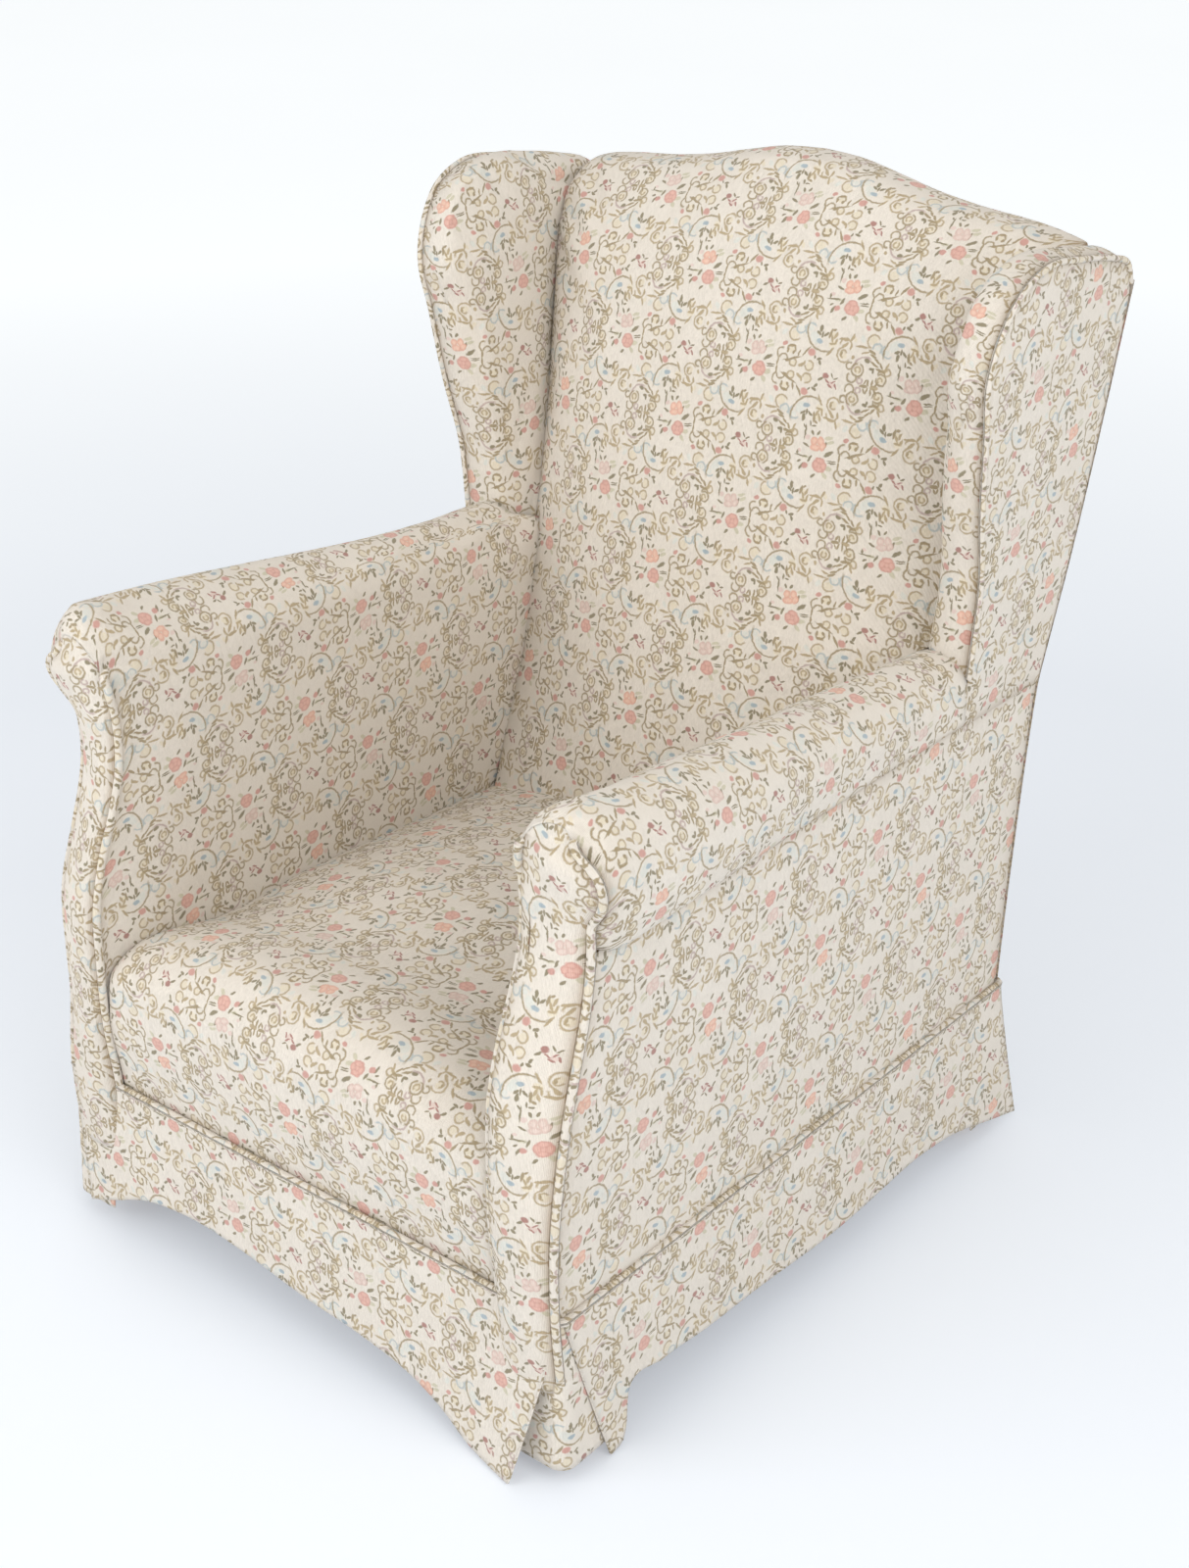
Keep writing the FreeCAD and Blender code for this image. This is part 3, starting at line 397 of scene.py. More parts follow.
FACING_SEAM = ((0.105, -0.418, -0.420), (0.200, -0.424, -0.428), (0.270, -0.431, -0.428),
               (0.340, -0.431, -0.420), (0.400, -0.428, -0.408), (0.450, -0.415, -0.395),
               (0.500, -0.395, -0.382), (0.540, -0.383, -0.376), (0.566, -0.380, -0.375),
               (0.600, -0.381, -0.378), (0.622, -0.383, -0.383), (0.645, -0.386, -0.386),
               (0.700, -0.388, -0.388))
SET_BACK = ((0.105, 0.004), (0.200, 0.010), (0.275, 0.018), (0.320, 0.014), (0.400, 0.004), (0.460, 0.009),
            (0.530, 0.014), (0.580, 0.011), (0.620, 0.005), (0.660, 0.0), (0.700, 0.0))
SCROLL_X, SCROLL_Z = 0.312, 0.622
SCROLL_SEAM = ((-92, 0.060), (-66, 0.058), (-56, 0.048), (-42, 0.0446), (-22, 0.044), (0, 0.044),
               (16, 0.0425), (30, 0.039), (46, 0.036), (60, 0.0375), (70, 0.043), (80, 0.0505),
               (95, 0.0510), (120, 0.0485), (150, 0.0468), (180, 0.0465))
FACING_IN_X, FACING_WIDTH = 0.265, 0.071
print("the crest is", CREST_LINE[0][1], "m high and the arms", ARM_FRONT_TOP, "m at the front")


# %% Smooth lines through the measured points
def through(points, count):
    """So many points at even steps along a smooth curve through the given ones."""
    p = np.asarray(points, float)
    t = np.concatenate([[0], np.cumsum(np.linalg.norm(np.diff(p, axis=0), axis=1))])
    slope = np.gradient(p, t, axis=0)
    fine = np.linspace(0, t[-1], 40 * len(p))
    k = np.clip(np.searchsorted(t, fine, side="right") - 1, 0, len(p) - 2)
    h = (t[k + 1] - t[k])[:, None]
    s = (fine - t[k])[:, None] / h
    curve = ((2 * s + 1) * (s - 1) ** 2 * p[k] + s * (s - 1) ** 2 * h * slope[k]
             + s * s * (3 - 2 * s) * p[k + 1] + s * s * (s - 1) * h * slope[k + 1])
    run = np.concatenate([[0], np.cumsum(np.linalg.norm(np.diff(curve, axis=0), axis=1))])
    even = np.linspace(0, run[-1], count)
    return np.stack([np.interp(even, run, column) for column in curve.T], 1)


def through_corners(points, count):
    """Points at even steps along straight lines."""
    p = np.asarray(points, float)
    run = np.concatenate([[0], np.cumsum(np.linalg.norm(np.diff(p, axis=0), axis=1))])
    even = np.linspace(0, run[-1], count)
    return np.stack([np.interp(even, run, column) for column in p.T], 1)


def reader(table, column=1):
    """A smooth reading of one column of a table by its first column, which rises."""
    fine = through(table, 400)
    return lambda at: np.interp(at, fine[:, 0], fine[:, column])


back_y = reader(BACK_LINE)
crest_z = reader(CREST_LINE)
seam_inner_y, seam_outer_y = reader(FACING_SEAM, 1), reader(FACING_SEAM, 2)
scroll_radius = reader(SCROLL_SEAM)
set_back = reader(SET_BACK)
print("the back leans by", round(1000 * (back_y(1.0) - back_y(RAIL_UNDERSIDE))), "mm")


# %% Where the wings, the arms and the facings' seams lie
def outer_x(z):
    return BODY_X + WING_FLARE * np.maximum(0.0, z - SEAM_Z)


def wing_inner_x(z):
    return BODY_X + WING_FLARE * (z - SEAM_Z) - WING_DEPTH + WING_NARROWS * (z - ARM_BACK_TOP)


def arm_top(y):
    return ARM_FRONT_TOP + (ARM_BACK_TOP - ARM_FRONT_TOP) * (y - ARM_FRONT_Y) / (WING_FRONT_Y - ARM_FRONT_Y)


def outer_seam_y(z, side):
    return seam_outer_y(z) + (set_back(z) if side < 0 else 0.0)


def seam_y(x, z, side):
    """How far forward the facing's seam lies. The right arm's outer edge sits a little further back."""
    out = np.clip((x - FACING_IN_X) / FACING_WIDTH, 0, 1)
    return seam_inner_y(z) * (1 - out) + outer_seam_y(z, side) * out


def scroll_seam(angles):
    """Points of the seam round the arm's scrolled end, which tucks in at its top."""
    radius = scroll_radius(np.degrees(angles))
    return SCROLL_X + radius * np.cos(angles), SCROLL_Z + radius * np.sin(angles)


print("the chair is", round(2000 * outer_x(1.0)), "mm wide over its wings")


# %% Soft steps, rounded edges and runs of cloth
def ease(x):
    """0 to 1 with a soft start and stop."""
    x = np.clip(x, 0, 1)
    return x * x * (3 - 2 * x)


def roll_off(x):
    """How far a rounded edge has dropped, 0 to 1, as x goes from 0 to 1 across it."""
    return 1 - np.sqrt(1 - np.clip(x, 0, 1) ** 2)


def across_chair():
    """Shares of the half width from -1 to 1, closer together towards the sides."""
    shares = np.sin(np.linspace(-math.pi / 2, math.pi / 2, 73))
    return np.sign(shares) * np.abs(shares) ** 0.8


def sunk(line, depth):
    """A side view moved inwards, square to itself."""
    slope = np.gradient(line, axis=0)
    slope /= np.linalg.norm(slope, axis=1)[:, None]
    return line + depth[:, None] * np.stack([slope[:, 1], -slope[:, 0]], 1)


def runs(grid, axis):
    """How far the cloth has run along one axis of a grid."""
    steps = np.linalg.norm(np.diff(grid, axis=axis), axis=2)
    start = np.zeros_like(np.take(steps, [0], axis=axis))
    return np.concatenate([start, np.cumsum(steps, axis=axis)], axis=axis)


# %% From a grid to a mesh
def cloth_mesh(name, grid, uv, soil=None, held=None, ring=False, side=1, face=None, material=None):
    """A grid of points becomes a mesh. A ring closes its columns and caps its first and last rows."""
    grid, uv = np.array(grid, float), np.array(uv, float)
    if side < 0:
        grid[..., 0] *= -1
        uv[..., 0] *= -1
    rows, cols = grid.shape[:2]
    index = np.arange(rows * cols).reshape(rows, cols)
    if ring:
        index = np.concatenate([index, index[:, :1]], axis=1)
        uv = np.concatenate([uv, uv[:, -1:] + (uv[:, -1:] - uv[:, -2:-1])], axis=1)
    corners = np.stack([index[:-1, :-1], index[:-1, 1:], index[1:, 1:], index[1:, :-1]], -1).reshape(-1, 4)
    places = np.stack([uv[:-1, :-1], uv[:-1, 1:], uv[1:, 1:], uv[1:, :-1]], -2).reshape(-1, 4, 2)
    faces, face_uv = corners.tolist(), places.tolist()
    if ring:
        faces += [index[0, :-1].tolist()[::-1], index[-1, :-1].tolist()]
        face_uv += [uv[0, :-1].tolist()[::-1], uv[-1, :-1].tolist()]
    mesh = bpy.data.meshes.new(name)
    mesh.from_pydata(grid.reshape(-1, 3), [], faces)
    layer = mesh.uv_layers.new(name="cloth")
    layer.data.foreach_set("uv", np.array([p for f in face_uv for p in f], np.float32).ravel())
    # A piece may carry a per-point weight of painted shade for its seams and creases.
    for label, values in (("soil", soil), ("held", held)):
        if values is not None:
            layer = mesh.attributes.new(label, "FLOAT", "POINT")
            layer.data.foreach_set("value", np.asarray(values, np.float32).ravel())
    weld(mesh)
    turn_outwards(mesh, face)
    mesh.shade_smooth()
    mesh.materials.append(material or tapestry_cloth)
    piece = bpy.data.objects.new(name, mesh)
    scene.collection.objects.link(piece)
    return piece


# %% Closing and turning a mesh, and fixing it to the chair
def weld(mesh):
    """Joins points that fell on each other, such as the tip of a rounded end."""
    work = bmesh.new()
    work.from_mesh(mesh)
    bmesh.ops.remove_doubles(work, verts=work.verts, dist=1e-5)
    bmesh.ops.dissolve_degenerate(work, edges=work.edges, dist=1e-6)
    work.to_mesh(mesh)
    work.free()


def turn_outwards(mesh, face):
    """Faces look out: by the sign of the volume in a closed mesh, or the given way in a sheet."""
    mesh.calc_loop_triangles()
    points = np.array([v.co for v in mesh.vertices])
    tri = np.array([t.vertices for t in mesh.loop_triangles])
    a, b, c = points[tri[:, 0]], points[tri[:, 1]], points[tri[:, 2]]
    normal = np.cross(b - a, c - a)
    out = (a * normal).sum() if face is None else (normal @ np.array(face)).sum()
    if out < 0:
        mesh.flip_normals()


def dressed(piece, stands_for):
    """Fixes a finished piece to the chair and hides the CAD parts that it stands for."""
    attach(piece, "root")
    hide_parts(*stands_for)
    print(piece.name, len(piece.data.polygons), "faces")
    return piece


# %% [markdown]
# ## Plumping the pads
# Drawn grids are too even for stuffing. A short cloth simulation lets the pressure of the stuffing swell
# each cover while its seams and hidden parts stay pinned, as real covers swell between their seams. How far
# a point may travel is capped, so that the pads stay in their places.

# %% A short cloth simulation
PLUMP_FRAMES = 20


def plump(piece, pressure, most):
    """Swells the free part of a pad by a little air pressure, then keeps the shape that it takes."""
    mesh = piece.data
    weights = np.zeros(len(mesh.vertices), np.float32)
    mesh.attributes["held"].data.foreach_get("value", weights)
    mesh.attributes.remove(mesh.attributes["held"])
    pins = piece.vertex_groups.new(name="held")
    pins.add(np.flatnonzero(weights > 0.5).tolist(), 1.0, "REPLACE")
    cloth = piece.modifiers.new("plump", "CLOTH")
    settings = cloth.settings
    settings.vertex_group_mass = "held"
    settings.use_pressure, settings.uniform_pressure_force = True, pressure
    settings.effector_weights.gravity = 0.0
    settings.mass, settings.quality = 0.3, 5
    for number in range(1, PLUMP_FRAMES + 1):
        scene.frame_set(number)
    graph = bpy.context.evaluated_depsgraph_get()
    swollen = np.array([v.co for v in piece.evaluated_get(graph).data.vertices])
    still = np.array([v.co for v in mesh.vertices])
    move = swollen - still
    length = np.linalg.norm(move, axis=1)
    move *= np.minimum(1.0, most / np.maximum(length, 1e-9))[:, None]
    piece.modifiers.clear()
    piece.vertex_groups.clear()
    mesh.vertices.foreach_set("co", (still + move).astype(np.float32).ravel())
    mesh.update()
    scene.frame_set(1)
    print(piece.name, "swells by up to", round(1000 * min(length.max(), most), 1), "mm")


# %% [markdown]
# ## The seat
# A tight seat is one cloth over stuffing, pulled over a firm roll at its front edge and down into the gaps
# beside the arms. It is drawn as a side view carried across the chair; the ends round off downwards, and
# the ring closes underneath along the hessian and the rail, so that the pad is a whole body.

# %% The seat pad
SEAT_HALF = 0.2612
SEAT_UNDER = ((0.185, 0.291), (-0.3775, 0.291), (-0.3775, 0.1955), (-0.4053, 0.1955),
              (-0.4053, RAIL_UNDERSIDE))
FRONT_CREASE_Z = 0.192


def seat_pad():
    rows = []
    for share in across_chair():
        middle = 1 - share ** 2
        line = through([(y, z + rise * middle) for y, z, rise in SEAT_FACE], 110)
        depth = np.interp(line[:, 1], (0.20, 0.27, 0.345), (0.0, 0.002, 0.010))
        line = sunk(line, depth * roll_off((abs(share) - 0.92) / 0.08))
        under = through_corners([line[-1], *SEAT_UNDER, line[0]], 40)[1:-1]
        loop = np.concatenate([line, under])
        rows.append(np.column_stack([np.full(len(loop), share * SEAT_HALF), loop]))
    grid = np.array(rows)
    uv = np.stack([-grid[..., 0], -runs(grid, 1)], -1)
    # Painted shade in the gaps beside the arms and along the crease above the welt.
    sides = 0.45 * np.exp(-(SEAT_HALF - np.abs(grid[..., 0])) / 0.005)
    crease = 0.2 * np.exp(-np.abs(grid[..., 2] - FRONT_CREASE_Z) / 0.004) * (grid[..., 1] < -0.40)
    held = np.ones(grid.shape[:2])
    held[4:-4, 34:100] = 0
    return {"grid": grid, "uv": uv, "soil": np.maximum(sides, crease), "held": held}


seat = cloth_mesh("seat", ring=True, **seat_pad())
plump(seat, 2.5, 0.008)
dressed(seat, ("seat_cover", "seat_stuffing"))

# %% [markdown]
# ## The inside back
# The same idea turned upright: the side view swells towards the sitter, rolls over the camel crest and ends
# at the seam behind. Its edges sink into a soft crease against the wings.

# %% The inside back pad
BACK_ROSE_X, BACK_ROSE_Z = -0.060, 0.781
CREST_Y, CREST_REAR_Y, CREST_ROLL = 0.400, 0.438, 0.034
CREST_COVER, BACK_COVER, BACK_BOARD = 0.0215, 0.0036, 0.0552
BETWEEN_ARMS, ARMS_END_Y = 0.2605, 0.225


def back_outline(share):
    """The pad's side view at one share of the width: over the front and crest, then back down inside."""
    top = crest_z(abs(share) * wing_inner_x(1.0))
    edge = [(y - swell * (1 - share ** 2), z) for z, y, swell in BACK_FACE]
    edge.append(((edge[-1][0] + 0.398) / 2 - 0.008, (edge[-1][1] + 2 * top) / 3))
    edge += [(CREST_Y, top), (CREST_REAR_Y, top - 0.006)]
    edge.append((back_y(top - CREST_ROLL) + 0.002, top - CREST_ROLL))
    line = through(edge, 130)
    depth = np.interp(line[:, 1], (0.30, 0.60, 0.70), (0.010, 0.017, 0.026))
    depth = depth * np.clip((0.440 - line[:, 0]) / 0.06, 0.1, 1)
    line = sunk(line, depth * roll_off((abs(share) - 0.87) / 0.13))
    (last_y, last_z), board_top = line[-1], top - CREST_COVER
    tail = [(last_y, last_z), (last_y - BACK_COVER, last_z), (back_y(board_top) - BACK_COVER, board_top)]
    tail += [(back_y(z) - BACK_BOARD, z) for z in np.linspace(board_top, BACK_FACE[0][0], 14)]
    return np.concatenate([line, through_corners(tail + [line[0]], 60)[1:-1]])


def back_pad():
    rows = []
    for share in across_chair():
        loop = back_outline(share)
        above_arms = ease((loop[:, 1] - 0.56) / 0.06)
        room = np.where(loop[:, 0] < ARMS_END_Y, BETWEEN_ARMS, 1.0) + above_arms
        half = np.minimum(wing_inner_x(loop[:, 1]) - 0.0015, room)
        rows.append(np.column_stack([share * half, loop]))
    grid = np.array(rows)
    count = len(grid)
    up = runs(grid, 1)
    rose = np.interp(BACK_ROSE_Z, grid[count // 2, :100, 2], up[count // 2, :100])
    uv = np.stack([grid[..., 0] - BACK_ROSE_X, up - rose], -1)
    held = np.ones(grid.shape[:2])
    held[4:-4, 4:116] = 0
    # Painted shade towards both ends, where the back sinks into the crease against the wings.
    from_end = np.minimum(np.arange(count), np.arange(count)[::-1])[:, None]
    soil = (0.6 * np.exp(-from_end / 2.6) + 0.25 * np.exp(-from_end / 7.0)) * np.ones(grid.shape[:2])
    return {"grid": grid, "uv": uv, "soil": soil, "held": held}


inside_back = cloth_mesh("inside_back", ring=True, **back_pad())
plump(inside_back, 2.5, 0.008)
dressed(inside_back, ("back_cover", "back_stuffing"))

# %% [markdown]
# ## The arms
# An arm is a keyhole in section: a flat inside, and a roll that overhangs outwards and runs out flush where
# the wing begins. A column of the grid keeps its place in that keyhole while it runs back from the facing's
# seam, where the roll is drawn in round its end. The right arm is a little fuller on top than the left.

# %% The arm pads
ROLL_FULL, ROLL_FADE_Y, ROLL_FADE = 0.029, -0.33, 0.42
NOSE, NOSE_ROWS, TOP_COLUMN = 0.030, 12, 26
NOSE_STEPS = np.array([0, 0.3, 1, 2, 3.5, 5.5, 8, 11, 15, 20, 26, 33, 42, 54]) / 650
ARM_FOOT_Z, ARM_END_Y = 0.196, 0.2235
FACING_EDGE_IN, FACING_EDGE_OUT, NECK_Z = 0.2655, 0.3372, 0.575
RAIL_OUT_X, RAIL_IN_X, LINING_X = 0.3315, 0.2893, 0.2832
RAIL_TOP_DROP, RAIL_BASE_DROP = 0.0442, 0.0775
ROSE_U = 0.1735


def under_arm(row):
    """The hidden side of one ring: in over the arm rail and down behind the lining."""
    first, last = row[0], row[-1]
    level = arm_top(np.mean(row[:, 1]))
    corners = [(last[0], last[2]), (RAIL_OUT_X, last[2]), (RAIL_OUT_X, level - RAIL_TOP_DROP),
               (RAIL_IN_X, level - RAIL_TOP_DROP), (RAIL_IN_X, level - RAIL_BASE_DROP),
               (LINING_X, level - RAIL_BASE_DROP), (LINING_X, ARM_FOOT_Z), (first[0], first[2])]
    line = through_corners(corners, 40)[1:-1]
    return np.column_stack([line[:, 0], np.linspace(last[1], first[1], 40)[1:-1], line[:, 1]])


def arm_pad(side, front_lift, rear_lift, crown):
    steps = np.concatenate([NOSE_STEPS, np.linspace(0.105, 1.0, 46)])
    stem = np.linspace(0.0, 1.0, 46)[:-1]
    count = len(stem)
    angles = np.radians(np.concatenate([np.linspace(180, 84, 26), np.linspace(80, 56, 9),
                                        np.linspace(52, -90, 38)]))
    bends = np.concatenate([np.full(count, math.pi), angles])
    degrees = np.degrees(bends)
    over_top = ease((degrees - 62) / 14) * (1 - ease((degrees - 160) / 19))

    seam_x, seam_z = scroll_seam(angles)
    seam_x = np.concatenate([np.full(count, FACING_EDGE_IN), seam_x])
    seam_z = np.concatenate([ARM_FOOT_Z + stem * (SCROLL_Z - ARM_FOOT_Z), seam_z])
    seam_x = np.where(seam_z < NECK_Z, np.minimum(seam_x, FACING_EDGE_OUT), seam_x)
    start = seam_y(seam_x, seam_z, side) + 0.0012 - 0.0026 * over_top
    further = 0.040 * ease((degrees - 125) / 25)
    y = start + (ARM_END_Y + further - start) * steps[:, None]

    nose = NOSE * np.concatenate([0.3 + 0.7 * stem ** 2, np.ones(len(angles))])
    grown = np.sqrt(1 - (1 - np.clip((y - start) / nose, 0, 1)) ** 2)
    swell = np.sin(math.pi * np.clip((y + 0.37) / 0.46, 0, 1))
    top = arm_top(y) + front_lift + (rear_lift - front_lift) * (y + 0.38) / 0.60 + crown * swell
    out_x = BODY_X + 0.0008 + ROLL_FULL * (1 - ease((y - ROLL_FADE_Y) / ROLL_FADE))
    base_z = SEAM_Z + 0.002
    mid_z = base_z + 0.55 * (top - SEAM_Z)
    mid_x, half = (out_x + ARM_IN_X) / 2, (out_x - ARM_IN_X) / 2
    below = bends < 0
    tucked_x = BODY_X + (out_x - BODY_X) * np.maximum(np.cos(bends), 0) ** 0.8
    x = np.where(below, tucked_x, mid_x + half * np.cos(bends))
    z = mid_z + np.where(below, mid_z - base_z, top - mid_z) * np.sin(bends)
    z[:, :count] = ARM_FOOT_Z + stem * (z[:, count:count + 1] - ARM_FOOT_Z)
    grid = np.stack([seam_x + (x - seam_x) * grown, y, seam_z + (z - seam_z) * grown], -1)
    shown = grid.shape[1]
    grid = np.concatenate([grid, [under_arm(row) for row in grid]], axis=1)

    along = runs(grid[::-1], 0)[::-1]
    along[:, :shown] -= further
    around = runs(grid, 1)
    ridge = around[:, count + TOP_COLUMN]
    around[:NOSE_ROWS] += (ridge[NOSE_ROWS] - ridge[:NOSE_ROWS])[:, None]
    uv = np.stack([ROSE_U - along, -around], -1)
    # Painted shade along the seam with the facing, faded out over the top, and in the crease under the
    # roll.
    soil = 0.8 * np.exp(-runs(grid, 0) / 0.006)
    soil[:, :shown] *= 1 - over_top
    to_seam = grid[:, :shown, 2] - SEAM_Z
    soil[:, :shown] += 0.5 * np.exp(-to_seam ** 2 / 0.00003) * (np.arange(shown) > shown - 14)
    held = np.ones(grid.shape[:2])
    held[2:-2, 3:shown - 3] = 0
    lead = grid[:1] + (0.0, NOSE, 0.0)
    lead[..., 0] = 0.300 + 0.93 * (lead[..., 0] - 0.300)
    return {"grid": np.concatenate([lead, grid]), "uv": np.concatenate([uv[:1], uv]),
            "soil": np.concatenate([soil[:1], soil]), "held": np.concatenate([held[:1], held])}


def pair(name, form, *choices, **options):
    """The left piece, and its mirror image with the cloth's pattern the right way round."""
    pieces = []
    for prefix, side, choice in zip(("left_", "right_"), (1, -1), choices or ((), ())):
        pieces.append(cloth_mesh(prefix + name, side=side, **form(side, *choice), **options))
    return pieces


LEFT_SWELL, RIGHT_SWELL = (0.0, 0.0, 0.002), (0.014, 0.023, 0.0)
for piece in pair("arm", arm_pad, LEFT_SWELL, RIGHT_SWELL, ring=True):
    plump(piece, 2.0, 0.006)
    dressed(piece, (piece.name + "_cover", piece.name + "_stuffing"))

# %% [markdown]
# ## The arm facings
# A facing is a flat pad cut to the keyhole's outline, a little fuller in the middle, and its edge is where
# the piping is sewn. Front and back of the pad share that edge, so the pad is closed like a flat stone.

# %% The facing pads
FACING_TOP_ANGLE, FACING_BULGE = 92, 0.015
FACING_ROSE = (0.322 - 0.091, 0.545 - 0.0815)


def facing_edges(z):
    """Inner and outer edge of the facing at each height."""
    out_x, out_z = scroll_seam(np.radians(np.linspace(-66, FACING_TOP_ANGLE, 120)))
    outer = np.interp(z, out_z, np.minimum(out_x, np.where(out_z < NECK_Z, FACING_EDGE_OUT, 1)))
    in_x, in_z = scroll_seam(np.radians(np.linspace(180, FACING_TOP_ANGLE, 60)))
    inner = np.where(z < SCROLL_Z, FACING_EDGE_IN, np.interp(z, in_z, in_x))
    return inner, outer


def facing_pad(side):
    top = scroll_seam(np.radians(FACING_TOP_ANGLE))[1]
    z = np.concatenate([np.linspace(RAIL_UNDERSIDE, 0.560, 58), np.linspace(0.564, 0.640, 26),
                        0.640 + (top - 0.640) * np.sin(np.linspace(0.05, math.pi / 2, 22))])
    inner, outer = facing_edges(z)
    shares = (1 - np.cos(np.linspace(0, math.pi, 27))) / 2
    x = inner[:, None] + (outer - inner)[:, None] * shares
    level = np.repeat(z[:, None], len(shares), 1)
    seam = seam_y(x, level, side)
    firm = np.sqrt(np.clip(1 - (2 * shares - 1) ** 2, 0, 1))
    soft = np.where(shares < 0.5, ease(2 * shares), firm)
    upper = ease((z - 0.590) / 0.040)[:, None]
    full = (firm + (soft - firm) * upper) * np.clip((outer - inner) / 0.07, 0, 1)[:, None]
    full = full * ease((top - level) / 0.040)
    front = np.stack([x, seam - FACING_BULGE * full, level], -1)
    rear = np.stack([x, seam + 0.0008 * full, level], -1)
    grid = np.concatenate([front, rear[:, -2:0:-1]], axis=1)
    uv = grid[..., ::2] - FACING_ROSE
    # Painted shade along the piped edges, left out at the top where the arm's cloth runs over them.
    to_edge = np.minimum(grid[..., 0] - inner[:, None], outer[:, None] - grid[..., 0])
    fade = np.where((grid[..., 2] > 0.652) & (grid[..., 0] < 0.325), 0.0, 0.8)
    return {"grid": grid, "uv": uv, "soil": fade * np.exp(-to_edge / 0.004)}


for piece in pair("facing", facing_pad, ring=True):
    dressed(piece, (piece.name.replace("facing", "facing_pad"),))

# %% [markdown]
# ## The wings
# A wing is a padded board. Its cloth starts at the piping on the outer edge, goes round a fat leading edge
# and runs back along the inside until it sinks into the crease beside the inside back.

# %% The wing pads
WING_CREASE = ((0.262, 0.583), (0.290, 0.620), (0.325, 0.730), (0.352, 0.850), (0.372, 0.930),
               (0.388, 0.964), (0.410, 0.976), (0.428, 0.972), (0.434, 0.960))
LEADING_EDGE, BEND_STEPS = 0.024, 26
BOARD_OUT, BOARD_IN, BOARD_REAR, BOARD_SET_BACK = 0.0045, 0.026, 0.0295, 0.0165


def wing_ring(y, z, inwards, crease):
    """One ring of a wing: round the leading edge, along the inside to the crease, and back on the board."""
    bends = np.linspace(0, 1, BEND_STEPS)
    flats = bends[1:]
    outer, inner = outer_x(z) - BOARD_OUT, wing_inner_x(z)
    depth = LEADING_EDGE * np.clip((0.43 - y) / 0.05, 0.15, 1) * roll_off(bends)
    puff = 0.004 + 0.005 * ease((z - 0.93) / 0.06)
    depth = depth - puff * np.sin(math.pi * np.clip(bends / 0.9, 0, 1))
    x = outer + (inner - outer) * np.sin(bends * math.pi / 2)
    bend = np.column_stack([x, (y, z) + inwards * depth[:, None]])
    flat = bend[-1, 1:] + (crease - bend[-1, 1:]) * flats[:, None]
    flat = np.column_stack([wing_inner_x(flat[:, 1]) - 0.004 * np.sin(math.pi * flats), flat])
    set_in = (y, z) + inwards * BOARD_SET_BACK
    corners = [flat[-1], (outer_x(crease[1]) - BOARD_REAR, *crease), (outer - BOARD_IN, *set_in),
               (outer, *set_in), bend[0]]
    sides = [through_corners(corners[i:i + 2], count)[1:] for i, count in enumerate((6, 14, 5, 4))]
    return np.concatenate([bend, flat, *sides])[:-1]


def wing_pad(_):
    edge = through(WING_LINE[1:], 90)
    foot = [(WING_FRONT_Y, z) for z in np.linspace(0.583, 0.617, 6)]
    edge = np.concatenate([foot, edge])
    tangent = np.gradient(edge, axis=0)
    tangent /= np.linalg.norm(tangent, axis=1)[:, None]
    inwards = np.stack([tangent[:, 1], -tangent[:, 0]], 1)
    crease = through(WING_CREASE, len(edge))
    grid = np.array([wing_ring(y, z, *ways) for (y, z), *ways in zip(edge, inwards, crease)])
    across = runs(grid, 1)
    bend_end = slice(BEND_STEPS - 1, BEND_STEPS)
    turned = np.maximum(across[:, bend_end] - across, 0)[..., None]
    unrolled = grid[:, bend_end, 1:] - inwards[:, None] * turned
    flat = np.where(turned > 0, unrolled, grid[..., 1:])
    shown = 2 * BEND_STEPS - 1
    held = np.ones(grid.shape[:2])
    held[2:-2, 3:shown - 3] = 0
    # Painted shade along the piped outer edge and in the crease beside the inside back.
    to_crease = np.abs(np.arange(grid.shape[1]) - shown + 1)
    soil = 0.8 * np.exp(-across / 0.0045) + 0.5 * np.exp(-to_crease / 2.0)
    return {"grid": grid, "uv": flat * (-1, 1), "soil": soil, "held": held}


for piece in pair("wing", wing_pad, ring=True):
    plump(piece, 2.0, 0.005)
    dressed(piece, (piece.name + "_cover", piece.name + "_stuffing"))

# %% [markdown]
# ## The outside panels
# Outside arms, wings and back are plain cloth stretched over the frame and stitched down at their edges.
# Each is a sheet with one face, drawn in over its edges where the stitching pulls it.

# %% Edges of a sheet, and its area
# How dark the painted shade is along the outside panels' stitched edges.
EDGE_SHADE = 0.4


def from_edge(grid):
    """Steps from each point of a sheet to its nearest edge, where it is stitched down."""
    rows, cols = grid.shape[:2]
    r = np.minimum(np.arange(rows), np.arange(rows)[::-1])[:, None]
    c = np.minimum(np.arange(cols), np.arange(cols)[::-1])[None, :]
    return np.minimum(r, c)


# Painted shade along the stitched edges of a sheet, fading inwards.
def painted_edge_shade(grid):
    return EDGE_SHADE * np.exp(-from_edge(grid) / 0.9)


def bow(rows, cols):
    """1 at the middle of a sheet and 0 along its edges."""
    return np.outer(np.sin(np.linspace(0, math.pi, rows)), np.sin(np.linspace(0, math.pi, cols)))


def flat_area(uv):
    """Area of the cloth in its own map."""
    a, b = uv[1:, 1:] - uv[:-1, :-1], uv[1:, :-1] - uv[:-1, 1:]
    return float(np.abs(a[..., 0] * b[..., 1] - a[..., 1] * b[..., 0]).sum() / 2)


# %% Outside arms and wings
REAR_EDGE = 0.002
ARM_CLOTH_TURN, ARM_CLOTH_ROSE = math.radians(3), (-0.205, 0.407)
WING_TIP = 5


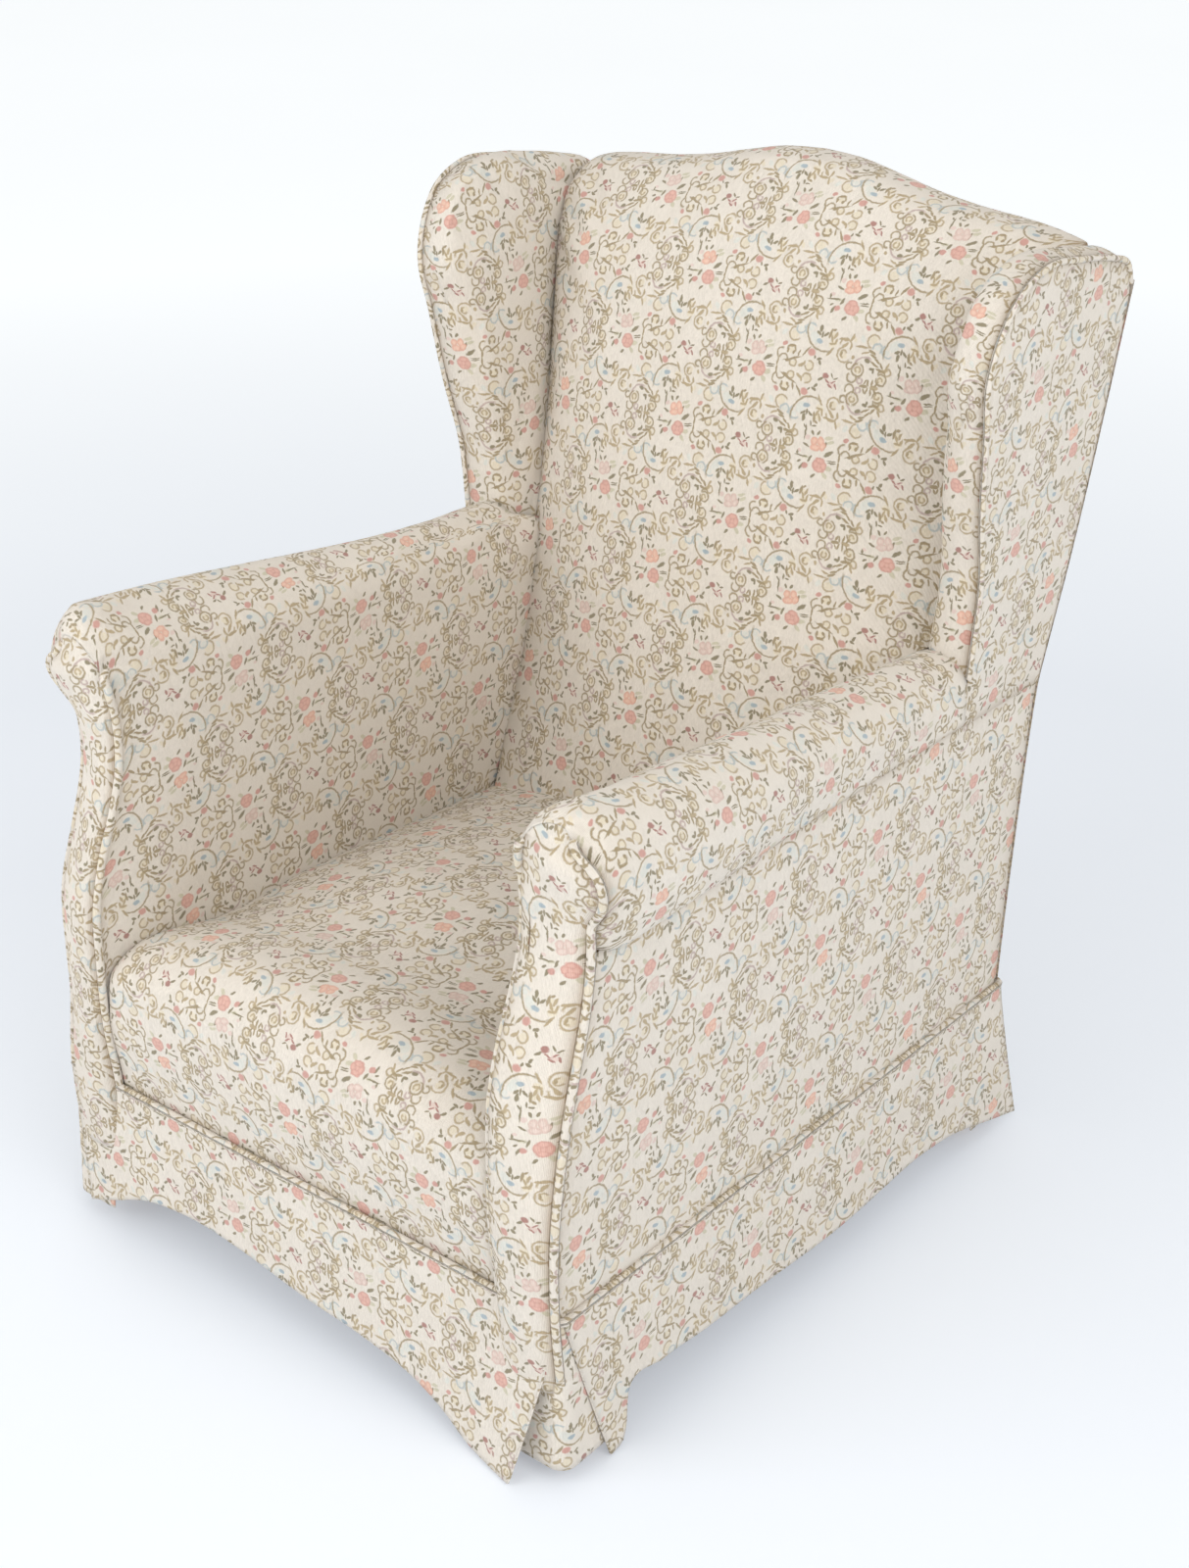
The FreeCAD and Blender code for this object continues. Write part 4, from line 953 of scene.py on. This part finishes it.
def outside_arm(side):
    share = np.linspace(0, 1, 90)[:, None]
    z = RAIL_UNDERSIDE + np.linspace(0, 1, 70) * (SEAM_Z + 0.004 - RAIL_UNDERSIDE)
    front, rear = outer_seam_y(z, side) + 0.004, back_y(z) - REAR_EDGE
    y = front + share * (rear - front)
    grid = np.stack([np.full_like(y, BODY_X), y, np.broadcast_to(z, y.shape)], -1)
    grid[..., 0] += 0.0016 * bow(90, 70) - 0.0012 * np.exp(-from_edge(grid) / 1.2)
    y, z = np.moveaxis(grid[..., 1:] - ARM_CLOTH_ROSE, -1, 0)
    sine, cosine = math.sin(ARM_CLOTH_TURN), math.cos(ARM_CLOTH_TURN)
    return grid, np.stack([z * sine - y * cosine, -y * sine - z * cosine], -1)


def outside_wing(_):
    """A patch between the wing's front edge, its top edge, the back and the seam above the outside arm."""
    share, rise = np.linspace(0, 1, 60)[:, None, None], np.linspace(0, 1, 60)[None, :, None]
    front = through(WING_LINE[:WING_TIP + 1], 60)[None]
    top = through(WING_LINE[WING_TIP:], 60)[:, None]
    heights = np.linspace(SEAM_Z, WING_LINE[-1][1], 60)
    rear = np.column_stack([back_y(heights) - REAR_EDGE, heights])[None]
    rear = rear + rise * (top[-1:] - rear[:, -1:])
    seam = front[:, :1] + share * (rear[:, :1] - front[:, :1])
    flat = (1 - share) * front + share * rear + (1 - rise) * seam + rise * top
    flat = flat - (1 - rise) * seam - rise * ((1 - share) * top[:1] + share * top[-1:])
    grid = np.concatenate([outer_x(flat[..., 1:]), flat], axis=2)
    under_cord = np.minimum(np.arange(60)[:, None], np.arange(60)[None, ::-1])
    grid[..., 0] -= 0.0032 * np.exp(-under_cord / 1.2)
    return grid, flat


def sheet_pair(name, form, flat):
    area = min(flat_area(form(1)[1]), flat[0] * flat[1])
    for prefix, side in (("left_", 1), ("right_", -1)):
        grid, uv = form(side)
        soil = painted_edge_shade(grid)
        piece = cloth_mesh(prefix + name + "_cloth", grid, uv, soil, side=side, face=(side, 0, 0))
        dressed(piece, (prefix + name,))


sheet_pair("outside_arm", outside_arm, (0.79, 0.50))
sheet_pair("outside_wing", outside_wing, (0.27, 0.49))

# %% The outside back
BACK_PANEL_DROP = 0.031


def outside_back():
    share = np.linspace(-1, 1, 70)[:, None]
    top = crest_z(np.abs(share) * CREST_LINE[-1][0]) - BACK_PANEL_DROP
    z = RAIL_UNDERSIDE + np.linspace(0, 1, 90) * (top - RAIL_UNDERSIDE)
    grid = np.stack([share * (outer_x(z) + 0.0005), back_y(z) + 0.0005, z], -1)
    grid[..., 1] += 0.0015 * bow(70, 90) - 0.001 * np.exp(-from_edge(grid) / 1.2)
    return grid, np.stack([-grid[..., 0], runs(grid, 1)], -1)


grid, uv = outside_back()
back_panel = cloth_mesh("outside_back_cloth", grid, uv, painted_edge_shade(grid), face=(0, 1, 0))
dressed(back_panel, ("outside_back",))
flat_area(uv)

# %% [markdown]
# ## The skirt
# Four panels hang from the welt, with hems that arch up at the middle, and behind each open corner hangs a
# folded underlay. Cloth simulation would find its own folds; here the folds were pressed in by the maker,
# so the fall is drawn: it leans out towards the hem, curls a little at the tips and waves slightly.

# %% The skirt's four panels
SKIRT_TOP, SKIRT_DROP = 0.1817, 0.18
SKIRT_HANGS_OUT, SKIRT_RIPPLE = 0.0046, 0.0018
SKIRT_HALF = (SKIRT_BACK_Y - SKIRT_FRONT_Y) / 2
SKIRT_MID_Y = (SKIRT_BACK_Y + SKIRT_FRONT_Y) / 2
# Along each panel from -1 to 1: the hem's height, how far it stands out, and how far it is drawn sideways.
FRONT_HEM = ((-1.0, 0.022, 0.0125, 0.019), (-0.86, 0.040, 0.0115, 0.014), (-0.70, 0.062, 0.0105, 0.010),
             (-0.52, 0.071, 0.0105, 0.006), (-0.25, 0.066, 0.0105, 0.002), (0.0, 0.057, 0.0105, -0.002),
             (0.28, 0.051, 0.0130, -0.006), (0.50, 0.038, 0.0165, -0.012), (0.68, 0.020, 0.0220, -0.020),
             (0.78, 0.008, 0.0260, -0.025), (0.88, 0.004, 0.0310, -0.029), (1.0, 0.003, 0.0380, -0.034))
SIDE_HEM = ((-1.0, 0.004, 0.018, 0.052), (-0.94, 0.008, 0.016, 0.050), (-0.90, 0.024, 0.013, 0.047),
            (-0.86, 0.056, 0.011, 0.043), (-0.70, 0.062, 0.010, 0.036), (-0.50, 0.054, 0.011, 0.032),
            (-0.25, 0.048, 0.012, 0.030), (0.0, 0.044, 0.012, 0.028), (0.30, 0.044, 0.012, 0.028),
            (0.55, 0.043, 0.012, 0.028), (0.72, 0.036, 0.013, 0.028), (0.86, 0.022, 0.016, 0.029),
            (1.0, 0.007, 0.019, 0.030))
BACK_HEM = ((-1.0, 0.006, 0.019, 0.016), (-0.85, 0.024, 0.015, 0.012), (-0.60, 0.040, 0.012, 0.008),
            (0.0, 0.048, 0.011, 0.0), (0.60, 0.040, 0.012, -0.008), (0.85, 0.024, 0.015, -0.012),
            (1.0, 0.006, 0.019, -0.016))


def turned(table):
    """The same hem seen from the other end."""
    return [(-share, hem, out, -drawn) for share, hem, out, drawn in table[::-1]]


def skirt_fall(half, table, waves):
    """Where a panel hangs: along the chair's side, out from it, and its height."""
    share = np.linspace(-1, 1, 101)[:, None]
    fall = np.linspace(0, 1, 30)
    hem, stand, drawn = (reader(table, column)(share) for column in (1, 2, 3))
    z = SKIRT_TOP + 0.003 + (hem - SKIRT_TOP - 0.003) * fall
    fallen = np.maximum(SKIRT_TOP - z, 0) / SKIRT_TOP
    ripple = SKIRT_RIPPLE * np.sin(waves * share + 0.7) * fall ** 1.4
    out = SKIRT_HANGS_OUT + (stand - SKIRT_HANGS_OUT) * fall ** 1.3 + ripple
    return share * half + drawn * fallen, out, z


def settle(piece):
    """Turns a piece with modifiers into the plain mesh that they make."""
    graph = bpy.context.evaluated_depsgraph_get()
    made = bpy.data.meshes.new_from_object(piece.evaluated_get(graph))
    piece.modifiers.clear()
    piece.data = made
    return piece


def hang(piece, thickness, stands_for, **sheet):
    layers = piece.modifiers.new("layers", "SOLIDIFY")
    layers.thickness, layers.offset = thickness, 0.0
    dressed(settle(piece), (stands_for,))


def skirt_panel(name, facing, half, table, waves, stands_for):
    """A panel is drawn along X and out along Y, and then turned to face its side of the chair."""
    along, out, z = skirt_fall(half, table, waves)
    face_x, face_y = facing
    reach = BODY_X + out if face_x else SKIRT_HALF + out
    x, y = face_x * reach - face_y * along, SKIRT_MID_Y + face_y * reach + face_x * along
    grid = np.stack([x, y, z], -1)
    uv = np.stack([along, -runs(grid, 1)], -1)
    hang(cloth_mesh(name + "_skirt", grid, uv, face=(*facing, 0)), 0.0024, stands_for,
         flat=(round(2 * half, 3), SKIRT_DROP), rests_on=[name + "_seat_rail"], area=flat_area(uv))


skirt_panel("front", (0, -1), BODY_X, FRONT_HEM, 7.0, "skirt_front")
skirt_panel("back", (0, 1), BODY_X, BACK_HEM, 6.0, "skirt_back")
skirt_panel("left", (1, 0), SKIRT_HALF, SIDE_HEM, 8.0, "left_skirt_side")
skirt_panel("right", (-1, 0), SKIRT_HALF, turned(SIDE_HEM), 6.5, "right_skirt_side")

# %% The underlays behind its open corners
UNDERLAY_LEG, UNDERLAY_FLAT = 0.062, (0.15, 0.18)
UNDERLAY_HEM = {1: 0.018, -1: 0.025}


def underlay(side, end):
    """The folded cloth behind one open corner of the skirt: a leg, a round corner and a second leg."""
    edge_y = SKIRT_FRONT_Y if end < 0 else SKIRT_BACK_Y
    turns = np.concatenate([np.zeros(13), np.linspace(0, math.pi / 2, 13), np.full(13, math.pi / 2)])
    leg = np.linspace(UNDERLAY_LEG, 0.0, 14)[:-1]
    first, second = np.concatenate([leg, np.zeros(26)]), np.concatenate([np.zeros(26), leg[::-1]])
    fall = np.linspace(0, 1, 26)[:, None]
    z = SKIRT_TOP + 0.002 + (UNDERLAY_HEM[side] - SKIRT_TOP - 0.002) * fall
    out, corner = 0.0014 + 0.009 * fall, 0.0045 + 0.012 * fall
    shorter = 1 - corner / UNDERLAY_LEG
    x = BODY_X + out - corner + corner * np.sin(turns) - first * shorter
    y = out - corner + corner * np.cos(turns) - second * shorter
    grid = np.stack([side * x, edge_y + end * y, np.broadcast_to(z, x.shape)], -1)
    return grid, np.stack([runs(grid, 1), -runs(grid, 0)], -1)


for side, hand in ((1, "left"), (-1, "right")):
    for end, place in ((-1, "front"), (1, "back")):
        grid, uv = underlay(side, end)
        hang(cloth_mesh(f"{place}_{hand}_underlay", grid, uv, face=(side, end, 0)), 0.0018, "skirt_pleats",
             flat=UNDERLAY_FLAT, rests_on=[f"{hand}_seat_rail"], area=flat_area(uv))

# %% [markdown]
# ## Piping
# Piping is a cord wrapped in a strip of the cloth and sewn into a seam. It could be a curve with a bevel,
# but then the weave would not follow it. A node tree sweeps a round section along each seam line and writes
# the cloth's own map as it goes: round the cord one way and along it the other.

# %% The piping tree
def node_tree(name, sockets):
    """A Geometry Nodes tree with named inputs, and its group input and output."""
    tree = bpy.data.node_groups.new(name, "GeometryNodeTree")
    tree.interface.new_socket("Geometry", in_out="INPUT", socket_type="NodeSocketGeometry")
    tree.interface.new_socket("Geometry", in_out="OUTPUT", socket_type="NodeSocketGeometry")
    for label, kind in sockets:
        tree.interface.new_socket(label, in_out="INPUT", socket_type=kind)
    return tree, tree.nodes.new("NodeGroupInput"), tree.nodes.new("NodeGroupOutput")


def add(tree, kind, settings={}, **links):
    """One node: settings first, then values or outputs of other nodes for its sockets."""
    made = tree.nodes.new(kind)
    for key, value in settings.items():
        setattr(made, key, value)
    for key, value in links.items():
        socket = made.inputs[key.replace("_", " ")]
        if isinstance(value, bpy.types.NodeSocket):
            tree.links.new(value, socket)
        else:
            socket.default_value = value
    return made


def measured(tree, curve):
    """A curve that remembers how far along it each of its points lies."""
    along = add(tree, "GeometryNodeSplineParameter")
    kept = add(tree, "GeometryNodeCaptureAttribute", Geometry=curve.outputs[0])
    kept.capture_items.new("FLOAT", "run")
    tree.links.new(along.outputs["Length"], kept.inputs["run"])
    return kept


def finished(tree, last, material, result):
    """Ends a tree: real faces, shaded smooth, in their material."""
    real = add(tree, "GeometryNodeRealizeInstances", Geometry=last.outputs[0])
    smooth = add(tree, "GeometryNodeSetShadeSmooth", Geometry=real.outputs[0])
    cover = add(tree, "GeometryNodeSetMaterial", Geometry=smooth.outputs[0], Material=material)
    tree.links.new(cover.outputs[0], result.inputs[0])
    return tree


STRIP_START = 0.031  # the strip round the cord is cut from between two rows of roses


def piping_tree():
    sockets = (("Radius", "NodeSocketFloat"), ("Cover", "NodeSocketMaterial"))
    tree, given, result = node_tree("piping", sockets)
    line = measured(tree, add(tree, "GeometryNodeMeshToCurve", Mesh=given.outputs["Geometry"]))
    ring = measured(tree, add(tree, "GeometryNodeCurvePrimitiveCircle", Resolution=12,
                              Radius=given.outputs["Radius"]))
    swept = add(tree, "GeometryNodeCurveToMesh", Curve=line.outputs[0], Profile_Curve=ring.outputs[0],
                Fill_Caps=True)
    place = add(tree, "ShaderNodeCombineXYZ", X=ring.outputs["run"], Y=line.outputs["run"])
    strip = add(tree, "ShaderNodeVectorMath", {"operation": "ADD"}, Vector=place.outputs[0])
    strip.inputs[1].default_value = (STRIP_START, 0.0, 0.0)
    mapped = add(tree, "GeometryNodeStoreNamedAttribute", {"data_type": "FLOAT2", "domain": "CORNER"},
                 Geometry=swept.outputs[0], Name="cloth", Value=strip.outputs[0])
    return finished(tree, mapped, given.outputs["Cover"], result)


def sew(name, tree, points, values, closed=False):
    """Runs a tree along a line of points and keeps the plain mesh that it makes."""
    mesh = bpy.data.meshes.new(name)
    links = [(i, i + 1) for i in range(len(points) - 1)]
    if closed:
        links.append((len(points) - 1, 0))
    mesh.from_pydata(points, links, [])
    piece = bpy.data.objects.new(name, mesh)
    scene.collection.objects.link(piece)
    run = piece.modifiers.new("sewn", "NODES")
    run.node_group = tree
    for item in tree.interface.items_tree:
        if item.name in values:
            run[item.identifier] = values[item.name]
    return settle(piece)


piping = piping_tree()
print("piping tree", len(piping.nodes), "nodes")

# %% Piping round the facings, up the wings and round the skirt
FACING_CORD, WING_CORD, SKIRT_CORD = 0.0044, 0.0032, 0.0044
FACING_CORD_FOOT, FACING_CORD_OUT_X = 0.107, 0.3382
CORD_PROUD, CORD_DIVE, CORD_TUCK = 0.0012, 0.010, 0.0025
WELT_OUT, WELT_CORNER = 0.003, 0.006


def facing_line(side):
    """Up the inner edge, round the scroll, where it dives under the cloth, and down the outer edge."""
    degrees = np.linspace(180, -62, 60)
    round_x, round_z = scroll_seam(np.radians(degrees))
    round_x = round_x + CORD_PROUD * np.cos(np.radians(degrees))
    under = CORD_DIVE * ease((degrees - 64) / 14) * ease((158 - degrees) / 18)
    inner_z, outer_z = np.linspace(FACING_CORD_FOOT, 0.615, 60), np.linspace(0.560, FACING_CORD_FOOT, 50)
    x = np.concatenate([np.full(60, FACING_IN_X), round_x, np.full(50, FACING_CORD_OUT_X)])
    z = np.concatenate([inner_z, round_z - 0.4 * under, outer_z])
    tucked = np.concatenate([np.full(60, CORD_TUCK), under, np.zeros(50)])
    y = seam_y(x, z, side) - CORD_PROUD + tucked
    return through(np.column_stack([side * x, y, z])[::2], 260)


def wing_edge_line(side):
    line = through(WING_LINE[1:], 140)
    line = np.concatenate([[(WING_FRONT_Y, 0.600)], line])
    return np.column_stack([side * (outer_x(line[:, 1]) - 0.0022), line])


def welt_line():
    half_x, half_y = BODY_X + WELT_OUT - WELT_CORNER, SKIRT_HALF + WELT_OUT - WELT_CORNER
    loop = []
    for turn, (x, y) in zip((0, 90, 180, 270), ((1, 1), (-1, 1), (-1, -1), (1, -1))):
        angles = np.radians(turn + np.arange(0, 91, 15))
        loop += list(zip(x * half_x + WELT_CORNER * np.cos(angles),
                         SKIRT_MID_Y + y * half_y + WELT_CORNER * np.sin(angles)))
    loop = through_corners(loop + loop[:1], 700)[:-1]
    return np.column_stack([loop, np.full(len(loop), WELT_Z)])


def pipe(name, line, radius, stands_for, closed=False):
    sizes = {"Radius": radius, "Cover": tapestry_cloth}
    dressed(sew(name, piping, line, sizes, closed), (stands_for,))


for side, hand in ((1, "left"), (-1, "right")):
    pipe(hand + "_facing_cord", facing_line(side), FACING_CORD, hand + "_facing_piping")
    pipe(hand + "_wing_cord", wing_edge_line(side), WING_CORD, hand + "_wing_piping")
pipe("skirt_cord", welt_line(), SKIRT_CORD, "skirt_welt", closed=True)

# %% [markdown]
# ## Hand stitches
# The outside back goes on last and is closed by hand, so small slanting stitches show along its two edges.
# Modelling one and copying it by hand would be slow to change. A second tree walks along the edge, sets one
# short thread at each step and turns it along the seam.

# %% The stitch tree
def stitch_tree():
    sockets = [(label, "NodeSocketFloat") for label in ("Step", "Length", "Thickness", "Slant")]
    tree, given, result = node_tree("stitches", sockets + [("Thread", "NodeSocketMaterial")])
    line = add(tree, "GeometryNodeMeshToCurve", Mesh=given.outputs["Geometry"])
    steps = add(tree, "GeometryNodeCurveToPoints", {"mode": "LENGTH"}, Curve=line.outputs[0],
                Length=given.outputs["Step"])
    thread = add(tree, "GeometryNodeMeshUVSphere", Segments=8, Rings=6, Radius=0.5)
    size = add(tree, "ShaderNodeCombineXYZ", X=given.outputs["Thickness"], Y=given.outputs["Thickness"],
               Z=given.outputs["Length"])
    shaped = add(tree, "GeometryNodeTransform", Geometry=thread.outputs[0], Scale=size.outputs[0])
    lean = add(tree, "ShaderNodeCombineXYZ", X=given.outputs["Slant"])
    leaning = add(tree, "GeometryNodeTransform", Geometry=shaped.outputs[0], Rotation=lean.outputs[0])
    placed = add(tree, "GeometryNodeInstanceOnPoints", Points=steps.outputs[0], Instance=leaning.outputs[0],
                 Rotation=steps.outputs["Rotation"])
    return finished(tree, placed, given.outputs["Thread"], result)


def thread_material():
    paint = Paint("thread")
    place = paint.node("ShaderNodeTexCoord", output=3)
    twist = paint.noise(place, 900.0, 2.0)
    hue = paint.mix(twist, shade(158, 138, 112), shade(200, 182, 154))
    return paint.finish(twist, 0.0002, Base_Color=hue, Roughness=0.8)


stitching = stitch_tree()
stitch_sizes = {"Step": 0.0095, "Length": 0.0062, "Thickness": 0.0016, "Slant": 0.5,
                "Thread": thread_material()}
for side, hand in ((1, "left"), (-1, "right")):
    heights = np.linspace(0.200, 0.945, 80)
    edge = np.column_stack([side * (outer_x(heights) - 0.0012), back_y(heights) - 0.0012, heights])
    stitches = sew(hand + "_back_stitches", stitching, edge, stitch_sizes)
    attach(stitches, "root")
    print(stitches.name, len(stitches.data.polygons), "faces")

# %% [markdown]
# ## What is hidden under the cloth
# The timber, springs, webbing and linings come from the CAD and stay where they are. They only need
# surfaces: plain cloth or wood colour would look like plastic where the chair is turned over, so each gets
# grain or weave.

# %% Materials for the frame
def beech():
    paint = Paint("beech")
    place = paint.node("ShaderNodeTexCoord", output=3)
    grain = paint.noise(paint.vector("MULTIPLY", place, (9.0, 9.0, 1.6)), 14.0, 5.0)
    fleck = paint.noise(paint.vector("MULTIPLY", place, (160.0, 160.0, 30.0)), 3.0, 2.0)
    hue = paint.mix(grain, shade(164, 118, 78), shade(214, 172, 124))
    hue = paint.mix((fleck - 0.55).maths("MULTIPLY", 3.0, clamp=True), hue, shade(140, 94, 60))
    return paint.finish(grain, 0.0006, Base_Color=hue, Roughness=0.55 + grain * 0.2)


def weave(name, light, dark, pitch, rough):
    paint = Paint(name)
    place = paint.node("ShaderNodeTexCoord", output=3)
    x, y, z = paint.parts(place)
    turns = 2 * math.pi / pitch
    over = (x * turns).maths("SINE") * ((y + z) * turns).maths("SINE")
    fuzz = paint.noise(place, 90.0, 3.0)
    cross = over * 0.5 + fuzz
    hue = paint.mix(cross.maths("MULTIPLY", 0.9, clamp=True), dark, light)
    return paint.finish(cross, pitch * 0.3, Base_Color=hue, Roughness=rough)


def steel():
    paint = Paint("steel")
    place = paint.node("ShaderNodeTexCoord", output=3)
    stain = paint.noise(place, 60.0, 4.0)
    hue = paint.mix(stain, shade(96, 98, 102), shade(158, 160, 164))
    return paint.finish(stain, 0.0002, Base_Color=hue, Metallic=1.0, Roughness=0.28 + stain * 0.3)


finishes = {
    "beech": beech(),
    "steel": steel(),
    "webbing": weave("webbing", shade(190, 168, 126), shade(110, 88, 56), 0.0022, 0.85),
    "hessian": weave("hessian", shade(178, 148, 100), shade(104, 78, 46), 0.0030, 0.9),
    "dust_cloth": weave("dust_cloth", shade(52, 50, 50), shade(22, 21, 22), 0.0012, 0.9),
}
KINDS = {"springs": "steel", "screws": "steel", "bolts": "steel", "tacks": "steel", "webbing": "webbing",
         "hessian": "hessian"}
for name, node in nodes.items():
    if not node.hide_render:
        kind = KINDS.get(name.split("_")[-1], "beech")
        node.data.materials.clear()
        node.data.materials.append(finishes[kind])
print(len(finishes), "finishes for the timber, metal and linings")

# %% The dust cover under the seat
DUST_HALF, DUST_FRONT_Y, DUST_BACK_Y, DUST_Z, DUST_SAG = 0.330, -0.401, 0.326, 0.1003, 0.004
FOOT_HOLE, FOOT_X, FOOT_YS = 0.027, 0.3115, (-0.3625, 0.3075)


def dust_cover():
    """A sheet that sags a little and is cut away round each foot."""
    x, y = np.linspace(-DUST_HALF, DUST_HALF, 60), np.linspace(DUST_FRONT_Y, DUST_BACK_Y, 66)
    flat = np.stack(np.meshgrid(x, y, indexing="ij"), -1)
    for foot in [(foot_x, foot_y) for foot_x in (-FOOT_X, FOOT_X) for foot_y in FOOT_YS]:
        away = np.linalg.norm(flat - foot, axis=2, keepdims=True)
        flat = foot + (flat - foot) * np.where(away < FOOT_HOLE, FOOT_HOLE / np.maximum(away, 1e-4), 1.0)
    return np.dstack([flat, DUST_Z - DUST_SAG * bow(60, 66)]), flat


grid, uv = dust_cover()
dust = cloth_mesh("dust_cloth", grid, uv, face=(0, 0, -1), material=finishes["dust_cloth"])
dressed(dust, ("dust_cover",))

# %% [markdown]
# ## The studio
# The photograph has one pale sweep of floor and soft light from all round, so there is no horizon and the
# shadows are faint. A wide floor and three big area lamps under a pale sky do the same.

# %% The floor
floor_mesh = bpy.data.meshes.new("floor")
floor_mesh.from_pydata([(-20, -20, 0), (20, -20, 0), (20, 30, 0), (-20, 30, 0)], [], [(0, 1, 2, 3)])
floor = bpy.data.objects.new("floor", floor_mesh)
scene.collection.objects.link(floor)
ground = Paint("floor")
place = ground.node("ShaderNodeTexCoord", output=3)
far_off = ground.vector("LENGTH", place, output=1).maths("MULTIPLY_ADD", 0.4, -0.6, clamp=True)
sweep = ground.mix(ground.noise(place, 0.8, 2.0), shade(200, 205, 211), shade(206, 211, 217))
glow = ground.mix(far_off, (0.285, 0.300, 0.330, 1.0), (0.535, 0.545, 0.545, 1.0))
floor_mesh.materials.append(ground.finish(None, Base_Color=sweep, Roughness=0.9, Specular_IOR_Level=0.1,
                                          Emission_Color=glow, Emission_Strength=1.0))

# %% The sky and the lamps
world = bpy.data.worlds.new("studio")
scene.world = world
world.use_nodes = True
world.node_tree.nodes["Background"].inputs["Color"].default_value = (1.0, 0.985, 0.955, 1.0)
world.node_tree.nodes["Background"].inputs["Strength"].default_value = 0.67


def lamp(name, place, aim, size, power, tint):
    light = bpy.data.lights.new(name, "AREA")
    light.shape, light.size, light.energy, light.color = "SQUARE", size, power, tint
    holder = bpy.data.objects.new(name, light)
    holder.location = place
    direction = mathutils.Vector(aim) - mathutils.Vector(place)
    holder.rotation_euler = direction.to_track_quat("-Z", "Y").to_euler()
    scene.collection.objects.link(holder)
    print(name, power, "W")


lamp("key_lamp", (-1.1, -3.1, 1.8), (0, 0, 0.5), 2.6, 50, (1.0, 0.98, 0.95))
lamp("fill_lamp", (3.2, -1.3, 2.5), (0, 0, 0.5), 2.6, 60, (1.0, 0.98, 0.95))
lamp("top_lamp", (0.6, -0.6, 3.2), (-0.1, 0, 0.4), 2.8, 8, (1.0, 0.97, 0.93))

# %% The camera
camera = bpy.data.objects.new("camera", bpy.data.cameras.new("camera"))
camera.data.lens, camera.data.sensor_width, camera.data.sensor_fit = 55.14, 36.0, "AUTO"
camera.location = (1.456, -1.727, 1.598)
look = mathutils.Vector((0.0457, -0.017, 0.481)) - camera.location
tilt = mathutils.Quaternion((0, 0, 1), math.radians(-0.14))
camera.rotation_euler = (look.to_track_quat("-Z", "Y") @ tilt).to_euler()
camera.data.dof.use_dof = False
scene.collection.objects.link(camera)
scene.camera = camera
scene.view_settings.view_transform = "Standard"
print("camera with a lens of", round(camera.data.lens, 2), "mm")
